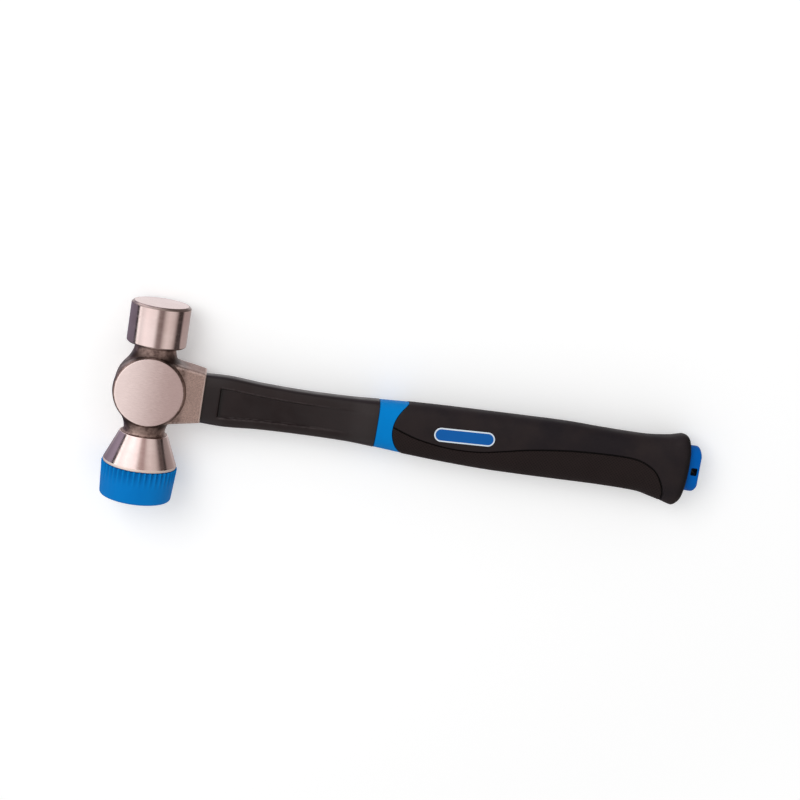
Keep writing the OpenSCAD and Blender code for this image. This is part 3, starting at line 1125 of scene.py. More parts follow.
    def wear(self, points: Array) -> tuple[Array, Array]:
        """Finds where the socket's corners are lighter and where the joins take painted shade.

        Args:
            points: Points on the forging's skin, in rows and columns by 3.

        Returns:
            Mask of the socket's lighter corners, and mask of painted shade in the joins between forms.
        """
        at = np.moveaxis(points, -1, 0)
        core, neck = self.core_field(at), self.neck_field(at)
        socket, body = self.socket_field(at), self.body_field(at)
        necked = blend_min(core, neck, self.forged_blend)
        joins = np.maximum.reduce([
            nearness(core, neck, self.forged_blend),
            nearness(necked, socket, self.socket_blend),
            nearness(blend_min(necked, socket, self.socket_blend), body, self.disc_blend),
        ])
        near, far = self.wear_near, self.wear_far
        corner = np.minimum(*self.past_socket(at)) / self.socket_corner
        corners = ease(corner, near, far) * ease(socket, -far, -near) * (1 - ease(socket, near, far))
        return self.corner_wear_and_painted_highlight * corners, ease(joins, self.join_start, 1.0)

    def turns(self) -> Array:
        """Sets angles round the head's axis, closer together at the socket and at the eye.

        Returns:
            The angles, once round.
        """
        socket, eye = math.radians(self.socket_half_turn), math.radians(self.eye_half_turn)
        stretches = (
            (-socket, socket, self.socket_columns),
            (socket, math.pi - eye, self.side_columns),
            (math.pi - eye, math.pi + eye, self.eye_columns),
            (math.pi + eye, 2 * math.pi - socket, self.side_columns),
        )
        return np.concatenate([np.linspace(*stretch, endpoint=False) for stretch in stretches])

    def forged_rows(self, turns: Array) -> Array:
        """Finds the skin of the forging, row by row up the head.

        Args:
            turns: Angles round the head's axis.

        Returns:
            Points as rows by turns by 3.
        """
        poll_rows, body_rows, face_rows = self.row_counts
        heights = np.concatenate([
            np.linspace(-self.poll_reach + self.row_touch, self.neck_low, poll_rows, endpoint=False),
            np.linspace(self.neck_low, self.neck_high, body_rows, endpoint=False),
            np.linspace(self.neck_high, self.under_y - self.row_touch, face_rows),
        ])
        y = np.repeat(heights[:, None], len(turns), axis=1)
        near, far = np.full(y.shape, self.search_near), np.full(y.shape, self.search_far)
        for _ in range(self.halvings):
            mid = (near + far) / 2
            inside = self.field(np.stack([mid * np.cos(turns), y, mid * np.sin(turns)])) < 0
            near, far = np.where(inside, mid, near), np.where(inside, far, mid)
        return np.stack([near * np.cos(turns), y, near * np.sin(turns)], axis=-1)

    @staticmethod
    def turned_rows(profile: Profile, turns: Array) -> Array:
        """Turns a profile of radii and heights round the head's axis, as rows by turns by 3."""
        r, y = np.array(profile).T[:, :, None]
        return np.stack([r * np.cos(turns), y * np.ones_like(turns), r * np.sin(turns)], axis=-1)

    def striking_profile(self) -> Profile:
        """Draws the striking cylinder, from its underside to its face.

        Returns:
            Radii and heights.
        """
        top, under = self.datum.face_y, self.under_y
        return rounded([
            (self.neck_r + self.neck_fillet, under),
            (self.face_r - self.edge, under),
            (self.face_r, under + self.edge),
            (self.face_r, top - self.face_bevel),
            (self.face_r - self.face_bevel, top),
            (self.face_r / 2, top),
        ], self.face_soft)

    def poll_profile(self) -> Profile:
        """Draws the poll, from the end of its spigot up to its shoulder.

        Returns:
            Radii and heights.
        """
        rim = self.poll_reach + self.poll_len
        seat = rim + self.rim_h
        end = seat + self.spigot_len
        return rounded([
            (self.spigot_r / 2, -end),
            (self.spigot_r - self.edge, -end),
            (self.spigot_r, -end + self.edge),
            (self.spigot_r, -seat),
            (self.poll_rim_r - self.rim_bevel, -seat),
            (self.poll_rim_r, -seat + self.rim_bevel),
            (self.poll_rim_r, -rim),
            (self.poll_top_r, -self.poll_reach),
            (self.poll_top_r - self.shoulder_in, -self.poll_reach),
        ], self.poll_soft)

    @staticmethod
    def first_above(rows: Array, height: float) -> int:
        """Number of the first row above a height."""
        return int(np.argmax(rows[:, 0, 1] > height))

    def finishes(self) -> list[bpy.types.Material]:
        """Makes the head's materials.

        Returns:
            The materials, in the order of HeadSteel.
        """
        low, high = self.datum.lay(np.array([[0, 0, -self.cheek_half], [0, 0, self.cheek_half]]))
        forged = ForgedSteel(
            "forged_steel", cheek_low=float(low[2]), cheek_high=float(high[2]), axis_x=float(low[0]),
            cheek_r=self.cheek_r * MM, mouth_x=self.datum.socket_x * MM,
        )
        by_slot = {
            HeadSteel.TURNED: self.turned,
            HeadSteel.FORGED: forged,
            HeadSteel.RIM: self.rim,
            HeadSteel.BEVEL: self.bevel,
        }
        return [by_slot[slot].material() for slot in HeadSteel]

    def build(self) -> bpy.types.Object:
        """Builds the head as one closed skin in turned and forged steel.

        Returns:
            The finished piece.
        """
        turns = self.turns()
        poll = self.turned_rows(self.poll_profile(), turns)
        forged = self.forged_rows(turns)
        striking = self.turned_rows(self.striking_profile(), turns)
        top = self.datum.face_y
        rim_row = self.first_above(poll, -self.poll_reach - self.poll_len + self.row_gap)
        under_row = self.first_above(striking, striking[0, 0, 1] + self.edge + self.row_gap)
        bevel_row = self.first_above(striking, top - self.face_bevel - self.row_gap)
        top_row = self.first_above(striking, top - self.row_top)
        # Lighter socket corners, and painted shade in the joins.
        edge, hollow = self.wear(forged)
        stretches = (
            (poll[:rim_row + 1], HeadSteel.RIM, 0.0, 0.0),
            (poll[rim_row:], HeadSteel.TURNED, 0.0, 0.0),
            (np.stack([poll[-1], forged[0]]), HeadSteel.FORGED, 0.0, 0.0),
            (forged, HeadSteel.FORGED, edge, hollow),
            (np.stack([forged[-1], striking[0]]), HeadSteel.FORGED, 0.0, 0.0),
            # The underside and both chamfers of the striking cylinder take painted shade.
            (striking[:under_row], HeadSteel.BEVEL, 0.0, 0.0),
            (striking[under_row - 1:bevel_row + 1], HeadSteel.TURNED, 0.0, 0.0),
            (striking[bevel_row:top_row + 1], HeadSteel.BEVEL, 0.0, 0.0),
            (striking[top_row:], HeadSteel.TURNED, 0.0, 0.0),
        )
        skin = Skin("steel_head")
        skin.cap(poll[0], slot=HeadSteel.RIM)
        for grid, slot, rubbed_and_painted_highlight, dark in stretches:
            skin.sheet(grid, wrap=True, slot=slot, edge=rubbed_and_painted_highlight, hollow=dark)
        skin.cap(striking[-1], slot=HeadSteel.TURNED)
        piece = skin.lay(self.datum, self.finishes(), self.crease)
        return settle(piece, Body.HAMMER, ["hammer_head"], "steel")


@dataclass(frozen=True)
class SoftTip:
    """Soft cap pressed on the poll's spigot, with finger flutes that die out along its wall."""

    datum: Datum
    face_r: float = 19.7
    corner_r: float = 1.6
    crown: float = 0.18
    bore_r: float = 16.55
    bore_depth: float = 9.0
    bore_gap: float = 0.2
    bore_bevel: float = 0.4
    lip: float = 0.35
    flute_count: int = 42
    flute_len: float = 10.5
    flute_depth: float = 1.25
    flute_power: float = 1.5
    mouth_dip: float = 0.6
    dip_len: float = 3.0
    ridge_painted_highlight_power: int = 3
    points_per_flute: int = 14
    lip_rows: int = 4
    wall_rows: int = 33
    corner_rows: int = 8
    face_rows: int = 13
    face_hub: float = 0.03
    crease: float = 50.0
    blue: MouldedPlastic = MouldedPlastic(
        "cap_plastic", colour=(0.0, 0.195, 0.58), other=(0.0, 0.18, 0.55), rubbed_and_painted_highlight=(0.0, 0.29, 0.7),
        roughness=0.5, specular=0.08, hollow_shade=0.74,
    )

    def bore(self) -> list[tuple[float, float, float]]:
        """Draws the bore, from the middle of its floor to the mouth.

        Returns:
            Radii, heights and shares of the flutes' depth.
        """
        mouth = self.datum.mouth_y
        floor = mouth - self.bore_depth - self.bore_gap
        return [
            (self.bore_r / 2, floor, 0.0),
            (self.bore_r - self.bore_bevel, floor, 0.0),
            (self.bore_r, floor + self.bore_bevel, 0.0),
            (self.bore_r, mouth - self.bore_bevel, 0.0),
            (self.bore_r + self.bore_bevel, mouth, 0.0),
        ]

    def wall(self) -> list[tuple[float, float, float]]:
        """Draws the outside of the cap, from its mouth to the middle of its face.

        Returns:
            Radii, heights and shares of the flutes' depth.
        """
        mouth, end, mouth_r = self.datum.mouth_y, self.datum.tip_y, self.datum.mouth_r
        straight = mouth - end - self.corner_r
        rows = [(mouth_r - self.lip, mouth, 1.0)]
        for angle in way_shares(self.lip_rows) * QUARTER:
            out, down = 1 - math.sin(angle), 1 - math.cos(angle)
            rows.append((mouth_r - self.lip * out, mouth - self.lip * down, 1.0))
        for s in way_shares(self.wall_rows):
            down = self.lip + (straight - self.lip) * s
            r = mouth_r + (self.face_r - mouth_r) * s
            rows.append((r, mouth - down, float(1 - ease(np.array(down), 0, self.flute_len))))
        for angle in way_shares(self.corner_rows) * QUARTER:
            inward, up = 1 - math.cos(angle), 1 - math.sin(angle)
            rows.append((self.face_r - self.corner_r * inward, end + self.corner_r * up, 0.0))
        flat = self.face_r - self.corner_r
        for s in np.linspace(1, self.face_hub, self.face_rows)[1:]:
            rows.append((flat * s, end - self.crown * (1 - s * s), 0.0))
        return rows

    def build(self) -> bpy.types.Object:
        """Builds the cap with its bore as one closed skin.

        Returns:
            The finished piece.
        """
        count = self.flute_count * self.points_per_flute
        turns = np.linspace(0, 2 * math.pi, count, endpoint=False)
        phase = (np.arange(count) % self.points_per_flute) / self.points_per_flute
        hollow = np.sin(math.pi * phase) ** self.flute_power
        profile = np.array(self.bore() + self.wall())
        radius, height, fluted = profile[:, 0:1], profile[:, 1:2], profile[:, 2:3]
        mouth = self.datum.mouth_y
        r = radius - self.flute_depth * fluted * hollow
        dip = self.mouth_dip * fluted * ease(height, mouth - self.dip_len, mouth)
        grid = np.stack([r * np.cos(turns), height - dip * hollow, r * np.sin(turns)], axis=-1)
        skin = Skin("soft_face_cap")
        # The flutes' grooves take painted shade and their ridges a painted highlight.
        skin.tube(grid, edge=fluted * (1 - hollow) ** self.ridge_painted_highlight_power, hollow=fluted * hollow)
        piece = skin.lay(self.datum, [self.blue.material()], self.crease)
        return settle(piece, Body.TIP, ["soft_tip"], "tip_plastic")


class Section(NamedTuple):
    """Sections of the handle: their half heights, half thicknesses, middles and squareness."""

    half_h: Array
    half_t: Array
    mid: Array
    square: Array


@dataclass(frozen=True)
class HandleForm:
    """Outer form of the handle, as rounded sections that change along its length."""

    datum: Datum
    shoulder_h: float = 27.9
    waist_h: float = 24.1
    shank_t: float = 15.6
    shank_square: float = 3.6
    band_h: float = 26.6
    band_t: float = 21.1
    grip_h: float = 33.0
    grip_t: float = 26.6
    grip_square: float = 2.5
    heel_h: float = 40.8
    heel_t: float = 28.0
    heel_back: float = 5.5
    tab_h: float = 23.4
    tab_t: float = 14.0
    axis_drop: float = 1.2

    def along_shank(self, share: float) -> float:
        """Place along the shank, from 0 at the socket to 1 at the band."""
        return self.datum.socket_x + share * (self.datum.band_x - self.datum.socket_x)

    def along_grip(self, share: float) -> float:
        """Place along the grip, from 0 at the band to 1 at the butt."""
        return self.datum.band_x + share * (self.datum.butt_x - self.datum.band_x)

    def table(self) -> Array:
        """Sets the sections that the handle runs through, from the socket to the butt.

        Returns:
            Rows of place, height, thickness, drop of the middle and squareness.
        """
        shank, grip, butt = self.along_shank, self.along_grip, self.datum.butt_x
        fall = self.shoulder_h - self.waist_h
        swell = self.grip_h - self.band_h
        fill = self.grip_t - self.band_t
        heel = self.heel_h - self.grip_h
        low, flat, oval = self.axis_drop, self.shank_square, self.grip_square
        return np.array([
            [shank(0), self.shoulder_h - 0.5, self.shank_t - 0.8, low, 3.4],
            [shank(0.14), self.shoulder_h, self.shank_t, low, flat],
            [shank(0.33), self.waist_h + 0.34 * fall, self.shank_t, low, flat],
            [shank(0.585), self.waist_h, self.shank_t, low, flat],
            [shank(0.84), self.waist_h + 0.6, self.shank_t + 1.2, 1.0, 3.2],
            [self.datum.band_x, self.band_h, self.band_t, 1.0, 2.7],
            [grip(0.095), self.band_h + 0.355 * swell, self.band_t + 0.58 * fill, 1.2, oval],
            [grip(0.215), self.band_h + 0.68 * swell, self.grip_t - 0.8, 1.45, oval],
            [grip(0.35), self.grip_h - 0.6, self.grip_t - 0.2, 1.6, oval],
            [grip(0.47), self.grip_h - 0.1, self.grip_t, 1.35, oval],
            [grip(0.6), self.grip_h, self.grip_t, 1.0, oval],
            [grip(0.725), self.grip_h - 0.9, self.grip_t - 0.2, 1.15, oval],
            [grip(0.8525), self.grip_h - 0.4, self.grip_t - 0.2, 1.5, oval],
            [butt - 17, self.grip_h + 0.32 * heel, (self.grip_t + self.heel_t) / 2, 2.15, oval],
            [butt - 11, self.grip_h + 0.62 * heel, self.heel_t, 2.4, oval],
            [butt - self.heel_back, self.heel_h, self.heel_t, 2.4, oval],
            [butt - 3.5, self.heel_h - 0.9, self.heel_t - 1.2, 2.0, oval],
            [butt - 1.5, self.heel_h - 4.8, self.heel_t - 4, 1.4, 2.6],
            [butt, self.tab_h + 2.6, self.tab_t + 3, 1.2, 2.8],
        ])

    def section(self, x: Array, depth: Share = 0.0) -> Section:
        """Reads the sections at places along the handle.

        Args:
            x: Places along the handle.
            depth: How far they are drawn in.

        Returns:
            The sections.
        """
        rows = self.table()
        height, thickness, drop, square = (through(rows, x, column) for column in range(1, rows.shape[1]))
        return Section(height / 2 - depth, thickness / 2 - depth, -drop, square)

    def skin(self, x: Array, turn: Array, depth: Share = 0.0) -> Array:
        """Finds points on the handle.

        Args:
            x: Places along the handle.
            turn: Angles round it, from the side (0) to the top (a quarter turn).
            depth: How far the points lie under the outer form.

        Returns:
            Points in the shape of x, by 3.
        """
        half_h, half_t, mid, square = self.section(x, depth)
        rise, run = np.abs(np.sin(turn)) / half_h, np.abs(np.cos(turn)) / half_t
        reach = (rise ** square + run ** square) ** (-1 / square)
        up, out = reach * np.sin(turn), reach * np.cos(turn)
        return np.stack([x * np.ones_like(reach), mid + up, out], axis=-1)

    def side(self, x: Array, y: Array) -> Array:
        """Measures the handle's half thickness, seen from its side.

        Args:
            x: Places along the handle.
            y: Heights there.

        Returns:
            The half thicknesses.
        """
        half_h, half_t, mid, square = self.section(x)
        share = np.minimum(np.abs(y - mid) / half_h, 1)
        return half_t * (1 - share ** square) ** (1 / square)

    def turn_at(self, x: Array, y: Array) -> Array:
        """Finds the angles of points on the near side.

        Args:
            x: Places along the handle.
            y: Heights there.

        Returns:
            The angles, straight down where y lies below the handle.
        """
        half_h, _, mid, _ = self.section(x)
        up = np.clip(y - mid, -half_h, half_h)
        return np.arctan2(up, self.side(x, mid + up))


@dataclass(frozen=True)
class Shank:
    """Bare moulded shank with a field let into each side, deep at the head and fading at the band."""

    form: HandleForm
    recess_depth: float = 1.5
    recess_border: float = 6.0
    recess_start: float = 9.0
    recess_end: float = 7.0
    side_start: float = 0.4
    side_full: float = 0.6
    draft: float = 0.9
    painted_highlight_w: float = 0.9
    shade_len: float = 3.2
    rows: int = 190
    columns: int = 256
    crease: float = 50.0
    black: MouldedPlastic = MouldedPlastic(
        "shank_plastic", colour=(0.0118, 0.0056, 0.0058), other=(0.0088, 0.0042, 0.0045),
        rubbed_and_painted_highlight=(0.05, 0.038, 0.038), roughness=0.34, specular=0.45, grain_depth=1.0e-5, hollow_shade=0.2,
    )

    def into_field(self, points: Array) -> tuple[Array, Array, Array]:
        """Measures how far points lie inside the field let into the sides.

        Args:
            points: Points on the shank's skin, in rows and columns by 3.

        Returns:
            Distances in from its long edges and from its head end, and the share of its depth
            left there.
        """
        x, y, z = np.moveaxis(points, -1, 0)
        half_h, half_t, mid, _ = self.form.section(x)
        start = self.form.datum.socket_x + self.recess_start
        end = self.form.datum.band_x - self.recess_end
        on_side = ease(np.abs(z) / half_t, self.side_start, self.side_full)
        left = (1 - ease(x, (start + end) / 2, end)) * on_side
        return half_h - self.recess_border - np.abs(y - mid), x - start, left

    def recess(self, points: Array) -> Array:
        """Measures the depth of the field let into the sides.

        Args:
            points: Points on the shank's skin, in rows and columns by 3.

        Returns:
            The depth at each point.
        """
        across, along, left = self.into_field(points)
        half = self.draft / 2
        return self.recess_depth * ease(across, -half, half) * ease(along, -half, half) * left

    def wear(self, points: Array) -> tuple[Array, Array]:
        """Finds the painted highlight lines beside the field and the painted shade at its head end.

        Args:
            points: Points on the shank's skin, in rows and columns by 3.

        Returns:
            Mask of the painted highlight lines and mask of the painted shade.
        """
        across, along, left = self.into_field(points)
        half = self.draft / 2
        within = ease(along, -half, half)
        # Painted highlight lines beside the field, and painted shade at its head end.
        lines = 1 - ease(np.abs(across + half), 0, self.painted_highlight_w)
        shade = (1 - ease(along, 0, self.shade_len)) * ease(across, -half, half)
        return lines * within * left, shade * within * left

    def build(self) -> bpy.types.Object:
        """Builds the shank as one closed skin.

        Returns:
            The finished piece.
        """
        datum = self.form.datum
        x = np.linspace(datum.socket_x, datum.band_x, self.rows)[:, None]
        turns = np.linspace(0, 2 * math.pi, self.columns, endpoint=False)[None, :]
        grid = self.form.skin(np.repeat(x, self.columns, axis=1), np.repeat(turns, self.rows, axis=0))
        grid[..., 2] -= np.sign(grid[..., 2]) * self.recess(grid)
        edge, hollow = self.wear(grid)
        skin = Skin("shank_shell")
        skin.tube(grid, edge=edge, hollow=hollow)
        piece = skin.lay(datum, [self.black.material()], self.crease)
        return settle(piece, Body.HAMMER, ["shank"], "shank_plastic")


@dataclass(frozen=True)
class Overmould:
    """Soft grip that ends in a round nose over the band, parted into shell and palm pad by a seam.

    The seam's heights go with shares of the grip in front and with places ahead of the butt at the
    back. Rows lie closer together at the nose, at the end of the seam and over the heel, and the
    stretches at the butt give their start and end ahead of it and their number of rows.
    """

    form: HandleForm
    wall: float = 2.8
    wall_most: float = 0.6
    band_len: float = 9.0
    nose_r: float = 17.0
    nose_y: float = -1.2
    seam_front: Profile = (
        (0.035, 1.4), (0.085, -1.8), (0.13, -4.2), (0.2, -6.3), (0.265, -7.0), (0.335, -6.2), (0.4, -4.0),
        (0.46, -1.7), (0.535, 0.4), (0.61, 1.9), (0.69, 2.7),
    )
    seam_back: Profile = (
        (41, 3.0), (32, 2.5), (26, 0.8), (20, -2.8), (15.6, -8.8), (13.3, -15.0), (12.3, -20.0),
        (11.8, -24.0),
    )
    groove_depth: float = 1.0
    groove_in: float = 0.24
    groove_out: float = 0.54
    lip: float = 0.5
    blend_len: float = 26.0
    end_shade: float = 4.4
    end_dark: float = 1.8
    nose_rows: tuple[float, ...] = (0, 0.06, 0.16, 0.3, 0.5, 0.8)
    body_start: float = 1.3
    body_end: float = 24.0
    body_rows: int = 150
    butt_rows: tuple[tuple[float, float, int], ...] = ((23.6, 10, 46), (9.5, 6, 9), (5.7, 0, 22))
    seam_columns: tuple[float, ...] = (0, 0.1, 0.2, 0.3, 0.4, 0.5, 0.6, 0.72, 0.9, 1.2, 1.7)
    girth: float = 52.0
    shell_columns: int = 70
    pad_columns: int = 48
    seam_points: int = 1400
    passes: int = 4
    shut_angle: float = 1e-3
    crease: float = 60.0
    rubber: MouldedPlastic = MouldedPlastic(
        "grip_rubber", colour=(0.0155, 0.0098, 0.0102), other=(0.0072, 0.0045, 0.0066),
        rubbed_and_painted_highlight=(0.022, 0.017, 0.018), roughness=0.58, specular=0.26, grain_scale=1900.0,
        grain_depth=2.5e-5,
    )
    knurled: KnurledRubber = KnurledRubber(
        "pad_rubber", colour=(0.0068, 0.0034, 0.0034), other=(0.0045, 0.0023, 0.0023),
        rubbed_and_painted_highlight=(0.0205, 0.0118, 0.011), roughness=0.62, specular=0.2, grain_scale=1150.0,
        grain_depth=1.6e-4, roundness=0.85,
    )

    @property
    def nose_x(self) -> float:
        """Centre of the round nose."""
        return self.form.datum.band_x + self.band_len + self.nose_r

    def seam_table(self) -> Array:
        """Sets the points that the seam runs through, from the nose to under the heel.

        Returns:
            Rows of place and height.
        """
        front = [(self.form.along_grip(share), y) for share, y in self.seam_front]
        back = [(self.form.datum.butt_x - ahead, y) for ahead, y in self.seam_back]
        return np.array(front + back)

    def front(self, y: Array) -> Array:
        """Place of the nose's edge at a height."""
        return self.nose_x - np.sqrt(np.maximum(self.nose_r ** 2 - (y - self.nose_y) ** 2, 0))

    def stations(self, last: float) -> Array:
        """Sets the places of the rows.

        Args:
            last: Place that no row lies behind.

        Returns:
            The places, from the nose on.
        """
        start, butt = self.nose_x - self.nose_r, self.form.datum.butt_x
        stretches = [
            start + np.array(self.nose_rows),
            np.linspace(start + self.body_start, butt - self.body_end, self.body_rows),
        ]
        stretches += [np.linspace(butt - far, butt - near, rows) for far, near, rows in self.butt_rows]
        places = np.concatenate(stretches)
        return places[places <= last]

    def columns(self, part: GripPart) -> Array:
        """Sets shares of the way from seam to seam, closer together beside each seam.

        Args:
            part: Shell or pad.

        Returns:
            The shares, from 0 to 1.
        """
        middle = self.shell_columns if part is GripPart.SHELL else self.pad_columns
        beside = np.array(self.seam_columns) / self.girth
        inner = np.linspace(beside[-1], 1 - beside[-1], middle + 2)[1:-1]
        return np.concatenate([beside, inner, 1 - beside[::-1]])

    def groove(self, x: Array, y: Array) -> Array:
        """Measures the groove that follows the seam, by the distance to it in the side view.

        Args:
            x: Places along the handle, in rows and columns.
            y: Heights there.

        Returns:
            The groove's depth at each.
        """
        table = self.seam_table()
        line_x = np.linspace(self.form.datum.band_x, table[-1, 0], self.seam_points)
        line_y = through(table, line_x, 1)
        gap = np.empty_like(x)
        for i in range(len(x)):
            gap[i] = np.hypot(x[i][:, None] - line_x, y[i][:, None] - line_y).min(axis=1)
        return self.groove_depth * (1 - ease(gap, self.groove_in, self.groove_out))

    def patch(self, part: GripPart) -> tuple[Array, Array, Array, Array]:
        """Finds the outer and inner skin of one part.

        Args:
            part: Shell or pad.

        Returns:
            Outer points, inner points, the groove's depth at each and the seam's angle on each row.
        """
        seam = self.seam_table()
        shares = self.columns(part)[None, :]
        end = self.form.datum.butt_x if part is GripPart.SHELL else seam[-1, 0]
        stations = self.stations(end)[:, None]
        start = stations[0, 0]
        pull = 1 - ease(stations, start, start + self.blend_len)
        x = np.repeat(stations, shares.shape[1], axis=1)
        # The nose pulls a row forward by its height, and the height follows from the row's place.
        for _ in range(self.passes):
            seam_y = np.where(x <= seam[-1, 0], through(seam, x, 1), seam[-1, 1])
            edge = self.form.turn_at(x, seam_y)
            if part is GripPart.SHELL:
                turn = edge + (math.pi - 2 * edge) * shares
            else:
                turn = edge - (math.pi + 2 * edge) * shares
            y = self.form.skin(x, turn)[..., 1]
            x = stations + pull * (self.front(y) - start)
        y = self.form.skin(x, turn)[..., 1]
        behind = np.maximum(stations - start, 0)
        ahead = np.maximum(self.lip - behind, 0)
        roll = self.lip - np.sqrt(np.maximum(self.lip ** 2 - ahead ** 2, 0))
        groove = self.groove(x, y)
        outer = self.form.skin(x, turn, groove + roll)
        wall = np.minimum(self.wall, self.form.section(x).half_t * self.wall_most)
        inner = self.form.skin(x, turn, wall)
        return outer, inner, groove, edge[:, 0]

    def finish(self, part: GripPart) -> MouldedPlastic:
        """Picks the finish of one part.

        Args:
            part: Shell or pad.

        Returns:
            The finish, whose name is also that of its material slot in the record.
        """
        if part is GripPart.SHELL:
            return self.rubber
        _, axis_y, axis_z = self.form.datum.origin
        return replace(self.knurled, axis_y=axis_y * MM, axis_z=axis_z * MM)

    def build(self, part: GripPart) -> bpy.types.Object:
        """Builds one part as a closed skin.

        Args:
            part: Shell or pad.

        Returns:
            The finished piece.
        """
        datum = self.form.datum
        outer, inner, groove, edge = self.patch(part)
        # Painted shade in the seam's groove and along the butt's edge.
        at_end = ease(outer[..., 0], datum.butt_x - self.end_shade, datum.butt_x - self.end_dark)
        shade = np.maximum(groove / self.groove_depth, at_end)
        open_rows = int(np.sum(edge > -QUARTER + self.shut_angle)) + 1
        skin = Skin("soft_" + part.value)
        skin.sheet(outer, hollow=shade)
        skin.sheet(inner, hollow=shade)
        for row in (0, -1):
            skin.sheet(np.stack([outer[row], inner[row]]), hollow=shade[row])
        for column in (0, -1):
            sides = np.stack([outer[:open_rows, column], inner[:open_rows, column]])
            skin.sheet(sides, hollow=shade[:open_rows, column])
        finish = self.finish(part)
        piece = skin.lay(datum, [finish.material()], self.crease)
        return settle(piece, Body.HAMMER, [part.value], finish.name)


